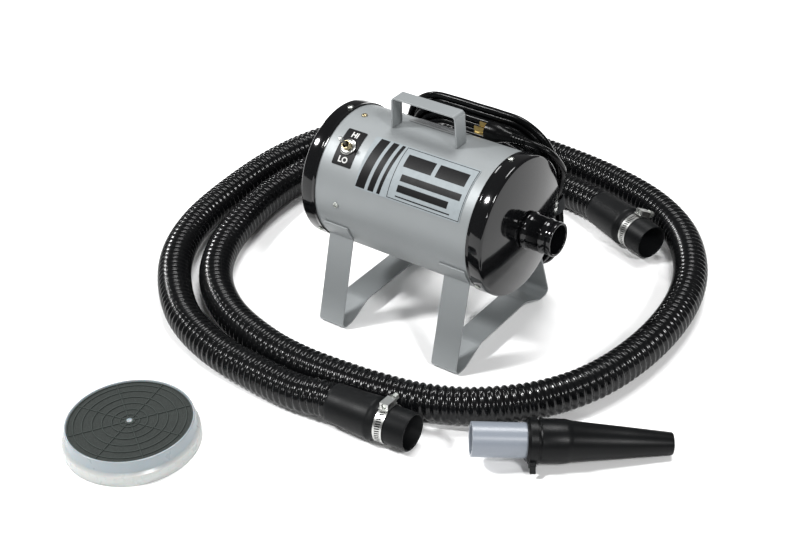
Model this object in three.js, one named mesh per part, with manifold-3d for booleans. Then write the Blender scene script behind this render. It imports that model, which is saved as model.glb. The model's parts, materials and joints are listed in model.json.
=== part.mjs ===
// Pet dryer: a horizontal drum blower on two bent strap legs, with its hose, nozzle, filter cap and power cord.
// Millimetres, +Z up. The drum lies along X and its outlet end faces +X. While the parts are being placed, the
// layout's origin is on the floor below the centre of the front end cap's face; the last lines move the whole
// group so that the origin ends up at the middle of the base.
import * as THREE from 'three';
import { mergeVertices } from 'three/addons/utils/BufferGeometryUtils.js';
import Module from 'manifold-3d';

const wasm = await Module();
wasm.setup();

// ---------------------------------------------------------------- driving dimensions
const GAP = 0.3; // clearance between pieces that touch
const AXIS_HEIGHT = 175.8; // drum axis above the floor
const DRUM_RADIUS = 90.2;
const DRUM_WALL = 1.2;
const BODY_LENGTH = 281; // over both end caps
const REAR_FACE = -BODY_LENGTH;
const CAP_WALL = 1.5;
const CAP_SKIRT = 23; // how far a cap's skirt reaches along the drum
const CAP_FILLET = 4;
const DRUM_SETBACK = 4; // from a cap's inner face to the drum's edge

const SPIGOT_LENGTH = 54; // from the edge of the front cap's face
const SPIGOT_BORE = 18.5;
const SPIGOT_WALL = 3.2;
const SPIGOT_RADIUS = SPIGOT_BORE + SPIGOT_WALL;
const SPIGOT_TAIL = 12; // inside the drum
const SPIGOT_COLLAR = 2.8;
const CAP_DOME = 11; // the front cap's face rises by this towards the outlet

const INTAKE_HOLE_RADIUS = 7;
const INTAKE_RINGS = [26, 46, 66];
const INTAKE_COUNTS = [5, 9, 13];

const HANDLE_LENGTH = 98.5;
const HANDLE_MIDDLE = REAR_FACE / 2 + 1.5; // along the drum
const HANDLE_RISE = 44;
const HANDLE_WIDTH = 21.2;
const HANDLE_THICKNESS = 2.4;
const HANDLE_SPLAY = 1.6;
const HANDLE_CORNER = 4.5;

const LEG_WIDTH = 38.6;
const LEG_THICKNESS = 2;
const LEG_MIDDLES = { front_leg: -46.4, rear_leg: REAR_FACE + 51.9 };
const LEG_HALF_SPAN = 113;
const LEG_TAB_TOP = 108; // degrees from the top of the drum
const LEG_TAB_BEND = 124;
const LEG_CROSSBAR_RISE = 16.5;
const LEG_SOLE_END = 90;
const LEG_RISE_END = 54;
const LEG_SEAT_GAP = 0.4; // between a tab and the drum
const LEG_BENDS = { shoulder: 4, heel: 7, arch: 24 };

const SCREW_HEAD_RADIUS = 4;
const SCREW_HEAD_HEIGHT = 2.2;
const SCREW_SHANK_RADIUS = 1.8;
const SCREW_SHANK_LENGTH = 6;
const DRILL_REACH = 6; // how far a drilled hole's cutter runs either side of the surface
const CAP_SCREW_INSET = 16.5; // from the cap's face
const CAP_SCREW_ANGLES = [-1, 125, -125];
const MOUNT_SCREWS = [
  { x: REAR_FACE + 43, angle: 2 },
  { x: REAR_FACE + 57, angle: 87 },
  { x: REAR_FACE + 57, angle: -87 },
];

const SWITCH_X = REAR_FACE + 55.4;
const SWITCH_ANGLE = 37.2;
const SWITCH_PLATE_LENGTH = 52; // around the drum
const SWITCH_PLATE_WIDTH = 30;
const LABEL_THICKNESS = 0.4;
const BUSHING_RADIUS = 5.9;
const BUSHING_HEIGHT = 9.5;
const BUSHING_BORE = 4.6;
const SWITCH_NUT_RADIUS = 11;
const SWITCH_NUT_HEIGHT = 2.6;
const SWITCH_BODY = { length: 28, width: 16, depth: 20 };
const LEVER_LENGTH = 27;
const LEVER_RADII = { ball: 2.6, neck: 1.7, end: 2.9 };

const NAME_LABEL = { x0: REAR_FACE + 84, x1: -37.5, angle0: 20, angle1: 66 };
const RATING_LABEL = { x0: HANDLE_MIDDLE - 45, x1: HANDLE_MIDDLE + 33, angle0: -33, angle1: -12 };

const BAFFLE_X = REAR_FACE + 69;
const BAFFLE_FLANGE = 32;
const BAFFLE_WALL = 1.2;
const BAFFLE_HOLE = 45;
const MOUNT_RING_WIDTH = 7;
const IMPELLER_RADIUS = 65;
const FAN_CLEARANCE = 4.5; // round the impellers
const FAN_LENGTH = 60;
const FAN_WALL = 1.5;
const FAN_RADIUS = IMPELLER_RADIUS + FAN_CLEARANCE + FAN_WALL;
const FAN_INLET = 28;
const IMPELLER_WIDTH = 15;
const IMPELLER_BLADES = 8;
const DIFFUSER_WIDTH = 6;
const SHAFT_RADIUS = 6;
const RUNNING_GAP = 0.05; // round the shaft
const BEARING_RADIUS = 11;
const BEARING_WIDTH = 8;
const FRAME_RADIUS = 46;
const FRAME_LENGTH = 74;
const FRAME_WALL = 3;
const STATOR_WALL = 11;
const STACK_LENGTH = 40;
const AIR_GAP = 1;
const COMMUTATOR_RADIUS = 15;
const COMMUTATOR_LENGTH = 13;
const BRUSH_BOX = 9;
const FOAM_THICKNESS = 13;

const CORD_DIAMETER = 9;
const RELIEF_X = -128;
const RELIEF_ANGLE = -110;
const RELIEF_LENGTH = 36;

const HANK_WIDTH = 242; // along X
const HANK_HEIGHT = 270;
const HANK_BAND = 48; // radial width of the bundle
const HANK_THICKNESS = 18;
const HANK_MIDDLE_X = -129;
const HANK_CLEARANCE = { foot: 3, cap: 2.1 }; // from the legs' feet and from the end caps
const HANK_LEAN = 7.1; // degrees towards the drum
const HANK_TOP_CORNER = 70;
const HANK_FOOT_CORNER = 110;

const PLUG_LENGTH = 36;
const PLUG_RADIUS = 12.5;
const PLUG_BOOT = 22;
const PLUG_FACE_X = -95;
const PLUG_ANGLE = -41.2; // about the drum, from its top
const PLUG_PIN = { length: 19, radius: 2.4, drop: 8 };
const PLUG_BLADE = { length: 16, width: 6.3, thickness: 1.5, spacing: 12.7, rise: 1.5 };
const TIE_WIDTH = 20;
const TIE_THICKNESS = 2;
const TIE_HEIGHT = 140; // up the bundle

const HOSE_BORE = 38;
const HOSE_WALL = 4.5;
const HOSE_DIAMETER = HOSE_BORE + 2 * HOSE_WALL;
const CUFF_LENGTH = 114;
const CUFF_FIT = 0.2; // round the spigot
const CUFF_WALL = 2.3;
const CUFF_SHOULDER = 4.1;
const CUFF_BORE_RADIUS = SPIGOT_RADIUS + CUFF_FIT;
const CUFF_MOUTH_RADIUS = CUFF_BORE_RADIUS + CUFF_WALL;
const CUFF_SHOULDER_RADIUS = CUFF_MOUTH_RADIUS + CUFF_SHOULDER;
const CUFF_START_RADIUS = HOSE_DIAMETER / 2 + 1.5;
const CUFF_SHOULDER_AT = 62;
const CLAMP_WIDTH = 12.7;
const CLAMP_THICKNESS = 0.8;
const CLAMP_AT = 72;
const CLAMP_SCREW_RADIUS = 3;

const NOZZLE_TUBE_RADIUS = 21.1;
const NOZZLE_TUBE_WALL = 3.6;
const NOZZLE_TUBE_LENGTH = 110;
const NOZZLE_TUBE_SHOWN = 65;
const NOZZLE_SLEEVE_LENGTH = 50;
const NOZZLE_SLEEVE_WALL = 5.1;
const NOZZLE_SLEEVE_RADIUS = NOZZLE_TUBE_RADIUS + GAP + NOZZLE_SLEEVE_WALL;
const NOZZLE_TAPER_LENGTH = 125;
const NOZZLE_TIP_RADIUS = 13.6;
const NOZZLE_TIP_WALL = 2.6;
const NOZZLE_CLAMP_WIDTH = 9;
const NOZZLE_CLAMP_WALL = 2.4;
const NOZZLE_TAB_LENGTH = 13.5;
const NOZZLE_TAB_ANGLE = 130; // from the top, towards the near side

const FILTER_RADIUS = 85;
const FILTER_LEDGE = 5.8;
const FILTER_RIM_RADIUS = FILTER_RADIUS - FILTER_LEDGE;
const FILTER_HEIGHT = 32.8;
const FILTER_STEP = 17;
const FILTER_WALL = 2.4;
const FILTER_FOAM_THICKNESS = 14;
const FILTER_POST_RADIUS = 2.6;
const FILTER_WEB_RINGS = [22, 40, 58];
const FILTER_CENTRE = new THREE.Vector2(-286, -431.5);

// Where the loose pieces lie on the floor, in the layout's frame.
const CUFF_A = { start: [-57, 298], direction: [107, -41], screwAngle: -28 };
const CUFF_B = { start: [-102, -264], direction: [114, 7], screwAngle: -5 };
const NOZZLE_START = new THREE.Vector2(82.6, -238.8);
const NOZZLE_HEADING = 0.6735;
// The hose's centre line on the floor, from cuff B round the outside, behind the drum and in again to cuff A.
const HOSE_ROUTE = [
  [-155, -270], [-239, -267], [-308, -257], [-385, -227], [-456, -170], [-500, -112], [-528, -42], [-541, 50],
  [-541, 155], [-520, 240], [-470, 318], [-390, 370], [-290, 394], [-182, 391], [-86, 378], [1, 351], [68, 306],
  [119, 240], [147, 170], [158, 88], [152, 4], [134, -60], [104, -112], [70, -148], [30, -178], [-18, -199],
  [-79, -212], [-130, -218], [-190, -221], [-256, -214], [-340, -187], [-409, -137], [-454, -68], [-481, 30],
  [-485, 118], [-463, 211], [-408, 279], [-325, 312], [-235, 326], [-145, 320],
];

// ---------------------------------------------------------------- materials
function paint(color, roughness, metalness) {
  return new THREE.MeshStandardMaterial({ color, roughness, metalness });
}
const SILVER_PAINT = paint(0x9aa0a2, 0.38, 0.4);
const GLOSS_BLACK = paint(0x0b0d0e, 0.12, 0.0);
const SATIN_BLACK = paint(0x16181a, 0.5, 0.0);
const STEEL = paint(0xb9bbb8, 0.3, 1.0);
const ZINC = paint(0xc4c6c2, 0.35, 1.0);
const BRASS = paint(0xb08d45, 0.3, 1.0);
const ALUMINIUM = paint(0xa9adb0, 0.4, 1.0);
const COPPER = paint(0xa65f36, 0.4, 1.0);
const IRON = paint(0x55575a, 0.55, 0.9);
const FOAM = paint(0x333735, 0.95, 0.0);
const FILTER_FOAM = paint(0x373e3b, 0.95, 0.0);
const GREY_PVC = paint(0x8f969f, 0.35, 0.0);
const CLEAR_WHITE = paint(0xd9dde0, 0.35, 0.0);
const PRINTED = paint(0x1b1d1e, 0.45, 0.0);
const FOIL = paint(0xbfc2c3, 0.3, 0.6);
const GREY_RUBBER = paint(0x3b3e40, 0.6, 0.0);

// ---------------------------------------------------------------- shape helpers
const deg = THREE.MathUtils.degToRad;

// A closed or axis-to-axis profile of [radius, height] pairs, turned about +Y with its faces outward.
function turned(profile, segments) {
  const points = profile.map(([r, y]) => new THREE.Vector2(r, y));
  if (THREE.ShapeUtils.area(points) < 0) points.reverse();
  const onAxis = points.filter((p) => p.x < 1e-6).length > 0;
  if (onAxis) {
    while (points[0].x > 1e-6 || points[points.length - 1].x > 1e-6) points.push(points.shift());
  } else {
    points.push(points[0].clone());
  }
  return new THREE.LatheGeometry(points, segments);
}

// The same, about +X: the profile's heights become places along X.
function turnedAboutX(profile, segments) {
  return turned(profile, segments).rotateZ(-Math.PI / 2);
}

function extruded(points, depth, holes = []) {
  const shape = new THREE.Shape(points);
  for (const hole of holes) shape.holes.push(new THREE.Path(hole));
  return new THREE.ExtrudeGeometry(shape, { depth, bevelEnabled: false, curveSegments: 8 });
}

// An outline drawn in the Y-Z plane, extruded along +X from x.
function extrudedAlongX(outline, x, depth) {
  const geometry = extruded(outline, depth);
  geometry.applyMatrix4(new THREE.Matrix4().set(0, 0, 1, x, 1, 0, 0, 0, 0, 1, 0, 0, 0, 0, 0, 1));
  return geometry;
}

function box(sx, sy, sz, x = 0, y = 0, z = 0) {
  return new THREE.BoxGeometry(sx, sy, sz).translate(x, y, z);
}

function rod(radius, from, to, segments = 12) {
  return new THREE.CylinderGeometry(radius, radius, to - from, segments).translate(0, (from + to) / 2, 0);
}

function circle(radius, segments) {
  return Array.from({ length: segments }, (_, i) => {
    const a = (2 * Math.PI * i) / segments;
    return new THREE.Vector2(radius * Math.cos(a), radius * Math.sin(a));
  });
}

function toManifold(geometry) {
  const g = geometry.clone();
  g.deleteAttribute('normal');
  g.deleteAttribute('uv');
  const merged = mergeVertices(g, 1e-4);
  const mesh = new wasm.Mesh({
    numProp: 3,
    vertProperties: new Float32Array(merged.attributes.position.array),
    triVerts: new Uint32Array(merged.index.array),
  });
  mesh.merge();
  return new wasm.Manifold(mesh);
}

function fromManifold(solid) {
  const mesh = solid.getMesh();
  const geometry = new THREE.BufferGeometry();
  geometry.setAttribute('position', new THREE.Float32BufferAttribute(mesh.vertProperties, 3));
  geometry.setIndex(new THREE.Uint32BufferAttribute(mesh.triVerts, 1));
  geometry.computeVertexNormals();
  return geometry;
}

function joined(...geometries) {
  return fromManifold(geometries.map(toManifold).reduce((a, b) => a.add(b)));
}

function cut(geometry, ...cutters) {
  return fromManifold(cutters.map(toManifold).reduce((a, b) => a.subtract(b), toManifold(geometry)));
}

// A polyline whose inner corners are rounded; each corner is [x, y, radius].
function roundedPath(corners, steps = 6) {
  const path = [];
  corners.forEach(([x, y, radius = 0], i) => {
    const here = new THREE.Vector2(x, y);
    if (!radius || i === 0 || i === corners.length - 1) {
      path.push(here);
      return;
    }
    const before = new THREE.Vector2(...corners[i - 1]).sub(here).normalize();
    const after = new THREE.Vector2(...corners[i + 1]).sub(here).normalize();
    const half = Math.acos(THREE.MathUtils.clamp(before.dot(after), -1, 1)) / 2;
    const run = radius / Math.tan(half);
    const centre = here.clone().addScaledVector(before.clone().add(after).normalize(), radius / Math.sin(half));
    const first = here.clone().addScaledVector(before, run).sub(centre);
    const last = here.clone().addScaledVector(after, run).sub(centre);
    let sweep = last.angle() - first.angle();
    if (sweep > Math.PI) sweep -= 2 * Math.PI;
    if (sweep < -Math.PI) sweep += 2 * Math.PI;
    for (let k = 0; k <= steps; k += 1) {
      path.push(first.clone().rotateAround(new THREE.Vector2(), (sweep * k) / steps).add(centre));
    }
  });
  return path;
}

// The outline of a strip of even thickness along a path.
function stripOutline(path, thickness) {
  const left = [];
  const right = [];
  path.forEach((p, i) => {
    const before = path[Math.max(i - 1, 0)];
    const after = path[Math.min(i + 1, path.length - 1)];
    const into = i === 0 ? after.clone().sub(p).normalize() : p.clone().sub(before).normalize();
    const out = i === path.length - 1 ? into : after.clone().sub(p).normalize();
    const tangent = into.clone().add(out).normalize();
    const reach = thickness / 2 / Math.max(tangent.dot(into), 0.3);
    const normal = new THREE.Vector2(-tangent.y, tangent.x);
    left.push(p.clone().addScaledVector(normal, reach));
    right.push(p.clone().addScaledVector(normal, -reach));
  });
  return [...left, ...right.reverse()];
}

// ---------------------------------------------------------------- the scene graph
const group = new THREE.Group();
const drumAxis = new THREE.Group();
drumAxis.position.z = AXIS_HEIGHT;
group.add(drumAxis);

function add(parent, name, geometry, material) {
  const mesh = new THREE.Mesh(geometry, material);
  mesh.name = name;
  parent.add(mesh);
  return mesh;
}

// A frame standing on a cylinder about the drum's axis: local +Y points straight out of it at that angle from
// the top (positive towards -Y), local +X runs along the drum.
function standOff(x, angle, radius) {
  const frame = new THREE.Group();
  frame.position.set(x, -radius * Math.sin(deg(angle)), radius * Math.cos(deg(angle)));
  frame.rotation.x = deg(angle + 90);
  drumAxis.add(frame);
  return frame;
}

// A solid made in such a frame, moved into the drum axis's frame.
function stoodOff(geometry, x, angle, radius) {
  return geometry
    .clone()
    .rotateX(deg(angle + 90))
    .translate(x, -radius * Math.sin(deg(angle)), radius * Math.cos(deg(angle)));
}

// ---------------------------------------------------------------- drum and end caps
const ROUND = 48; // facets round the drum and its caps
const CAP_INNER = DRUM_RADIUS + GAP;
const CAP_RADIUS = CAP_INNER + CAP_WALL;
const CAP_SCREW_PLACES = [-CAP_SCREW_INSET, REAR_FACE + CAP_SCREW_INSET];

function screwHole(x, angle, radius = SCREW_SHANK_RADIUS + 2 * GAP) {
  return stoodOff(rod(radius, -DRILL_REACH, DRILL_REACH, 8), x, angle, DRUM_RADIUS);
}

function capScrewHoles(x) {
  return CAP_SCREW_ANGLES.map((angle) => screwHole(x, angle));
}

function drumShell() {
  const from = REAR_FACE + CAP_WALL + DRUM_SETBACK;
  const to = -CAP_WALL - DRUM_SETBACK;
  const inner = DRUM_RADIUS - DRUM_WALL;
  const wall = turnedAboutX([[inner, from], [DRUM_RADIUS, from], [DRUM_RADIUS, to], [inner, to]], ROUND);
  const holes = CAP_SCREW_PLACES.flatMap(capScrewHoles);
  for (const { x, angle } of MOUNT_SCREWS) holes.push(screwHole(x, angle));
  holes.push(stoodOff(rod(BUSHING_RADIUS + GAP, -DRILL_REACH, DRILL_REACH, 20), SWITCH_X, SWITCH_ANGLE, DRUM_RADIUS));
  holes.push(stoodOff(rod(RELIEF_HOLE, -DRILL_REACH, DRILL_REACH, 16), RELIEF_X, RELIEF_ANGLE, DRUM_RADIUS));
  return cut(wall, ...holes);
}

// A dished cap whose face starts at height 0, rises by dome towards its middle, and whose skirt runs to -CAP_SKIRT.
function capProfile(hole, dome = 0) {
  const rim = CAP_RADIUS - CAP_FILLET;
  const rise = (r) => dome * (1 - (r / rim) ** 2);
  const middle = [0, 0.25, 0.5, 0.75].map((k) => hole + (rim - hole) * k);
  const face = dome > 0 ? middle : [hole];
  const arc = [];
  for (let k = 0; k <= 3; k += 1) {
    const a = (Math.PI / 2) * (k / 3);
    const r = CAP_RADIUS - CAP_FILLET + CAP_FILLET * Math.sin(a);
    arc.push([r, -CAP_FILLET + CAP_FILLET * Math.cos(a)]);
  }
  const inside = CAP_FILLET - CAP_WALL;
  return [
    ...face.map((r) => [r, rise(r)]),
    ...arc,
    [CAP_RADIUS, -CAP_SKIRT],
    [CAP_INNER, -CAP_SKIRT],
    [CAP_INNER, -CAP_WALL - inside],
    [CAP_INNER - inside, -CAP_WALL],
    ...face.map((r) => [r, rise(r) - CAP_WALL]).reverse(),
  ];
}

const SPIGOT_THREAD = SPIGOT_RADIUS - 0.6;

function frontCap() {
  const cap = turnedAboutX(capProfile(SPIGOT_THREAD + GAP, CAP_DOME), ROUND);
  return cut(cap, ...capScrewHoles(CAP_SCREW_PLACES[0]));
}

function rearCap() {
  const cap = turnedAboutX(capProfile(0), ROUND).rotateZ(Math.PI).translate(REAR_FACE, 0, 0);
  const holes = capScrewHoles(CAP_SCREW_PLACES[1]);
  INTAKE_RINGS.forEach((ring, i) => {
    for (let k = 0; k < INTAKE_COUNTS[i]; k += 1) {
      const a = (2 * Math.PI * k) / INTAKE_COUNTS[i];
      const hole = rod(INTAKE_HOLE_RADIUS, -DRILL_REACH, DRILL_REACH, 7).rotateZ(Math.PI / 2);
      holes.push(hole.translate(REAR_FACE, ring * Math.cos(a), ring * Math.sin(a)));
    }
  });
  return cut(cap, ...holes);
}

function spigot() {
  const r = SPIGOT_RADIUS;
  const collar = r + SPIGOT_COLLAR;
  const base = CAP_DOME;
  const steps = [
    [SPIGOT_THREAD, base - SPIGOT_TAIL], [SPIGOT_THREAD, base + GAP], [collar, base + GAP], [collar, base + 4],
    [r + 1.4, base + 5.5], [r + 0.6, base + 8], [r + 0.6, 35],
    [r + 1.2, 36.2], [r + 1.2, 39], [r, 40.2], [r, SPIGOT_LENGTH - 1.2], [r - 1.2, SPIGOT_LENGTH],
    [SPIGOT_BORE, SPIGOT_LENGTH], [SPIGOT_BORE, base - SPIGOT_TAIL],
  ];
  return turnedAboutX(steps, 26);
}

function screwSolid() {
  const h = SCREW_HEAD_HEIGHT;
  const r = SCREW_HEAD_RADIUS;
  const s = SCREW_SHANK_RADIUS;
  const tip = -SCREW_SHANK_LENGTH;
  const profile = [[0, tip], [s, tip], [s, 0], [r, 0], [r * 0.8, h], [0, h]];
  return turned(profile, 10);
}

function addScrew(name, x, angle, seat) {
  add(standOff(x, angle, seat + GAP), name, screwSolid(), ZINC);
}

const RELIEF_HOLE = CORD_DIAMETER / 2 + 3;

add(drumAxis, 'drum_shell', drumShell(), SILVER_PAINT);
add(drumAxis, 'front_end_cap', frontCap(), GLOSS_BLACK);
add(drumAxis, 'rear_end_cap', rearCap(), GLOSS_BLACK);
add(drumAxis, 'outlet_spigot', spigot(), GLOSS_BLACK);
['front', 'rear'].forEach((end, e) => {
  CAP_SCREW_ANGLES.forEach((angle, i) => {
    addScrew(`${end}_cap_screw_${i + 1}`, CAP_SCREW_PLACES[e], angle, CAP_RADIUS);
  });
});
MOUNT_SCREWS.forEach(({ x, angle }, i) => addScrew(`baffle_screw_${i + 1}`, x, angle, DRUM_RADIUS));

// ---------------------------------------------------------------- handle and legs
function handle() {
  const top = DRUM_RADIUS + HANDLE_RISE - HANDLE_THICKNESS / 2;
  const half = (HANDLE_LENGTH - HANDLE_THICKNESS) / 2;
  const foot = DRUM_RADIUS + GAP;
  const path = roundedPath([
    [HANDLE_MIDDLE - half - HANDLE_SPLAY, foot],
    [HANDLE_MIDDLE - half, top, HANDLE_CORNER],
    [HANDLE_MIDDLE + half, top, HANDLE_CORNER],
    [HANDLE_MIDDLE + half + HANDLE_SPLAY, foot],
  ]);
  const strap = extruded(stripOutline(path, HANDLE_THICKNESS), HANDLE_WIDTH);
  return strap.rotateX(Math.PI / 2).translate(0, HANDLE_WIDTH / 2, 0);
}

function legPath() {
  const mid = LEG_THICKNESS / 2;
  const onDrum = (a) => {
    const r = DRUM_RADIUS + LEG_SEAT_GAP + mid;
    return [r * Math.sin(deg(a)), AXIS_HEIGHT + r * Math.cos(deg(a))];
  };
  const half = [];
  for (let a = LEG_TAB_TOP; a < LEG_TAB_BEND; a += 4) half.push(onDrum(a));
  half.push([...onDrum(LEG_TAB_BEND), LEG_BENDS.shoulder]);
  half.push([LEG_HALF_SPAN - mid, mid, LEG_BENDS.heel]);
  half.push([LEG_SOLE_END, mid, LEG_BENDS.arch]);
  half.push([LEG_RISE_END, LEG_CROSSBAR_RISE + mid, LEG_BENDS.arch]);
  const mirrored = half.map(([y, z, r]) => [-y, z, r]).reverse();
  return roundedPath([...half, ...mirrored], 4);
}

add(drumAxis, 'carry_handle', handle(), SILVER_PAINT);
for (const [name, middle] of Object.entries(LEG_MIDDLES)) {
  const outline = stripOutline(legPath(), LEG_THICKNESS);
  add(group, name, extrudedAlongX(outline, middle - LEG_WIDTH / 2, LEG_WIDTH), SILVER_PAINT);
}

// ---------------------------------------------------------------- labels and switch
function curvedPlate(x0, x1, angle0, angle1, inner, thickness) {
  const steps = Math.ceil((angle1 - angle0) / 5);
  const arc = (radius) => Array.from({ length: steps + 1 }, (_, k) => {
    const a = deg(angle0 + ((angle1 - angle0) * k) / steps);
    return new THREE.Vector2(-radius * Math.sin(a), radius * Math.cos(a));
  });
  return extrudedAlongX([...arc(inner), ...arc(inner + thickness).reverse()], x0, x1 - x0);
}

const LABEL_SEAT = DRUM_RADIUS + GAP;

function label({ x0, x1, angle0, angle1 }) {
  return curvedPlate(x0, x1, angle0, angle1, LABEL_SEAT, LABEL_THICKNESS);
}

function switchPlate() {
  const half = THREE.MathUtils.radToDeg(SWITCH_PLATE_LENGTH / 2 / DRUM_RADIUS);
  const plate = label({
    x0: SWITCH_X - SWITCH_PLATE_WIDTH / 2,
    x1: SWITCH_X + SWITCH_PLATE_WIDTH / 2,
    angle0: SWITCH_ANGLE - half,
    angle1: SWITCH_ANGLE + half,
  });
  return cut(plate, stoodOff(rod(BUSHING_RADIUS + GAP, -DRILL_REACH, DRILL_REACH, 20), SWITCH_X, SWITCH_ANGLE, DRUM_RADIUS));
}

const NUT_SEAT_GAP = 0.7; // keeps the flat nut clear of the curved plate
const NUT_FOOT = LABEL_THICKNESS + NUT_SEAT_GAP;
// The casing's flat top stays clear of the drum's curved inside along its whole length.
const DRUM_FLATS = (DRUM_RADIUS - DRUM_WALL) * Math.cos(Math.PI / ROUND);
const SWITCH_TOP = Math.sqrt(DRUM_FLATS ** 2 - (SWITCH_BODY.length / 2) ** 2) - DRUM_RADIUS - GAP;

function switchBody() {
  const { length, width, depth } = SWITCH_BODY;
  const casing = box(width, depth, length, 0, SWITCH_TOP - depth / 2, 0);
  const bushing = rod(BUSHING_RADIUS, SWITCH_TOP - 1, BUSHING_HEIGHT, 20);
  const well = rod(BUSHING_BORE, SWITCH_TOP - 6, BUSHING_HEIGHT + 2, 16);
  return cut(joined(casing, bushing), well);
}

function switchNut() {
  const r = SWITCH_NUT_RADIUS;
  const top = NUT_FOOT + SWITCH_NUT_HEIGHT;
  const bore = BUSHING_RADIUS + GAP;
  return turned([[bore, NUT_FOOT], [r, NUT_FOOT], [r, NUT_FOOT + 1.2], [r - 1.6, top], [bore, top]], 28);
}

// The pivot is the middle of the lever's ball, at the frame's origin.
function lever() {
  const ball = [];
  for (let k = 0; k <= 5; k += 1) {
    const a = deg(-90 + 25 * k);
    ball.push([LEVER_RADII.ball * Math.cos(a), LEVER_RADII.ball * Math.sin(a)]);
  }
  ball[0][0] = 0;
  const tip = LEVER_LENGTH;
  const end = LEVER_RADII.end;
  return turned([
    ...ball, [LEVER_RADII.neck, 6], [end, tip - 3], [end - 0.3, tip - 0.8], [end - 1.5, tip], [0, tip],
  ], 14);
}

const switchFrame = standOff(SWITCH_X, SWITCH_ANGLE, DRUM_RADIUS);
add(drumAxis, 'switch_plate', switchPlate(), PRINTED);
add(switchFrame, 'switch_body', switchBody(), STEEL);
add(switchFrame, 'switch_nut', switchNut(), STEEL);
add(switchFrame, 'toggle_lever', lever(), STEEL);
add(drumAxis, 'name_label', label(NAME_LABEL), PRINTED);
add(drumAxis, 'rating_label', label(RATING_LABEL), FOIL);

// ---------------------------------------------------------------- blower inside the drum
const DRUM_INNER = DRUM_RADIUS - DRUM_WALL;

function baffle() {
  const r = DRUM_INNER - GAP;
  const t = BAFFLE_WALL;
  const back = BAFFLE_X - BAFFLE_FLANGE;
  const profile = [
    [BAFFLE_HOLE, BAFFLE_X], [BAFFLE_HOLE, BAFFLE_X - t], [r - t, BAFFLE_X - t], [r - t, back], [r, back],
    [r, BAFFLE_X],
  ];
  const notch = stoodOff(box(SWITCH_BODY.width + 4, 12, SWITCH_BODY.length + 4), SWITCH_X, SWITCH_ANGLE, r);
  const holes = MOUNT_SCREWS.map(({ x, angle }) => screwHole(x, angle));
  return cut(turnedAboutX(profile, 40), notch, ...holes);
}

const FAN_BACK = BAFFLE_X + MOUNT_RING_WIDTH + 2 * GAP;
const FAN_FRONT = FAN_BACK + FAN_LENGTH;
const FRAME_BACK = FAN_FRONT + GAP;
const FRAME_FRONT = FRAME_BACK + FRAME_LENGTH;

function mountRing() {
  const from = BAFFLE_X + GAP;
  const outer = BAFFLE_HOLE + 16;
  return turnedAboutX([[BAFFLE_HOLE + 3, from], [outer, from], [outer, from + MOUNT_RING_WIDTH],
    [BAFFLE_HOLE + 3, from + MOUNT_RING_WIDTH]], 40);
}

function fanHousing() {
  const t = FAN_WALL;
  const r = FAN_RADIUS;
  const outlet = FRAME_RADIUS - 8;
  return turnedAboutX([
    [FAN_INLET, FAN_BACK], [r, FAN_BACK], [r, FAN_FRONT], [outlet, FAN_FRONT], [outlet, FAN_FRONT - t],
    [r - t, FAN_FRONT - t], [r - t, FAN_BACK + t], [FAN_INLET, FAN_BACK + t],
  ], 32);
}

// A backplate with a hub and backward-curved blades; its backplate ends at height IMPELLER_WIDTH.
function impeller() {
  const r = IMPELLER_RADIUS;
  const w = IMPELLER_WIDTH;
  const bore = SHAFT_RADIUS + RUNNING_GAP;
  const plate = turned([[bore, 0], [13, 0], [13, w - 1.6], [r, w - 1.6], [r, w], [bore, w]], 28);
  const blade = stripOutline(roundedPath([[22, 0], [44, 8, 40], [r - 1, 24]], 2), 1.2);
  const blades = Array.from({ length: IMPELLER_BLADES }, (_, k) => extruded(blade, w - 3)
    .rotateX(-Math.PI / 2)
    .translate(0, 2, 0)
    .rotateY((2 * Math.PI * k) / IMPELLER_BLADES));
  return joined(plate, ...blades).rotateZ(-Math.PI / 2);
}

function motorFrame() {
  const r = FRAME_RADIUS;
  const t = FRAME_WALL;
  const seat = BEARING_RADIUS + GAP;
  const can = turnedAboutX([
    [seat, FRAME_BACK], [r, FRAME_BACK], [r, FRAME_FRONT], [seat, FRAME_FRONT], [seat, FRAME_FRONT - t],
    [r - t, FRAME_FRONT - t], [r - t, FRAME_BACK + t], [seat, FRAME_BACK + t],
  ], 28);
  const windows = [];
  for (let k = 0; k < 4; k += 1) {
    const a = deg(45 + 90 * k);
    const side = box(26, 24, 20, FRAME_FRONT - 18, 0, r).rotateX(a);
    const back = box(4 * t, 14, 12, FRAME_BACK, 0, r - 17).rotateX(a);
    windows.push(side, back);
  }
  return cut(can, ...windows);
}

const STACK_FROM = FRAME_BACK + 10;
const STACK_TO = STACK_FROM + STACK_LENGTH;
const STATOR_OUTER = FRAME_RADIUS - FRAME_WALL - GAP;
const STATOR_INNER = STATOR_OUTER - STATOR_WALL;
const COMMUTATOR_FROM = STACK_TO + 5;
const BEARING_BACK = FRAME_BACK - 2.5;
const BEARING_FRONT = FRAME_FRONT - BEARING_WIDTH + 2;

function ringAboutX(inner, outer, from, to, segments) {
  return turnedAboutX([[inner, from], [outer, from], [outer, to], [inner, to]], segments);
}

function shaft() {
  const from = FAN_BACK + 4;
  const to = BEARING_FRONT + BEARING_WIDTH + 3;
  return turnedAboutX([[0, from], [SHAFT_RADIUS, from], [SHAFT_RADIUS, to], [0, to]], 24);
}

const ROTOR_BORE = SHAFT_RADIUS + RUNNING_GAP;
const IMPELLER_PLACES = [FAN_BACK + 5, FAN_BACK + 5 + IMPELLER_WIDTH + DIFFUSER_WIDTH + 6];
const DIFFUSER_AT = IMPELLER_PLACES[0] + IMPELLER_WIDTH + 3;

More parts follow.
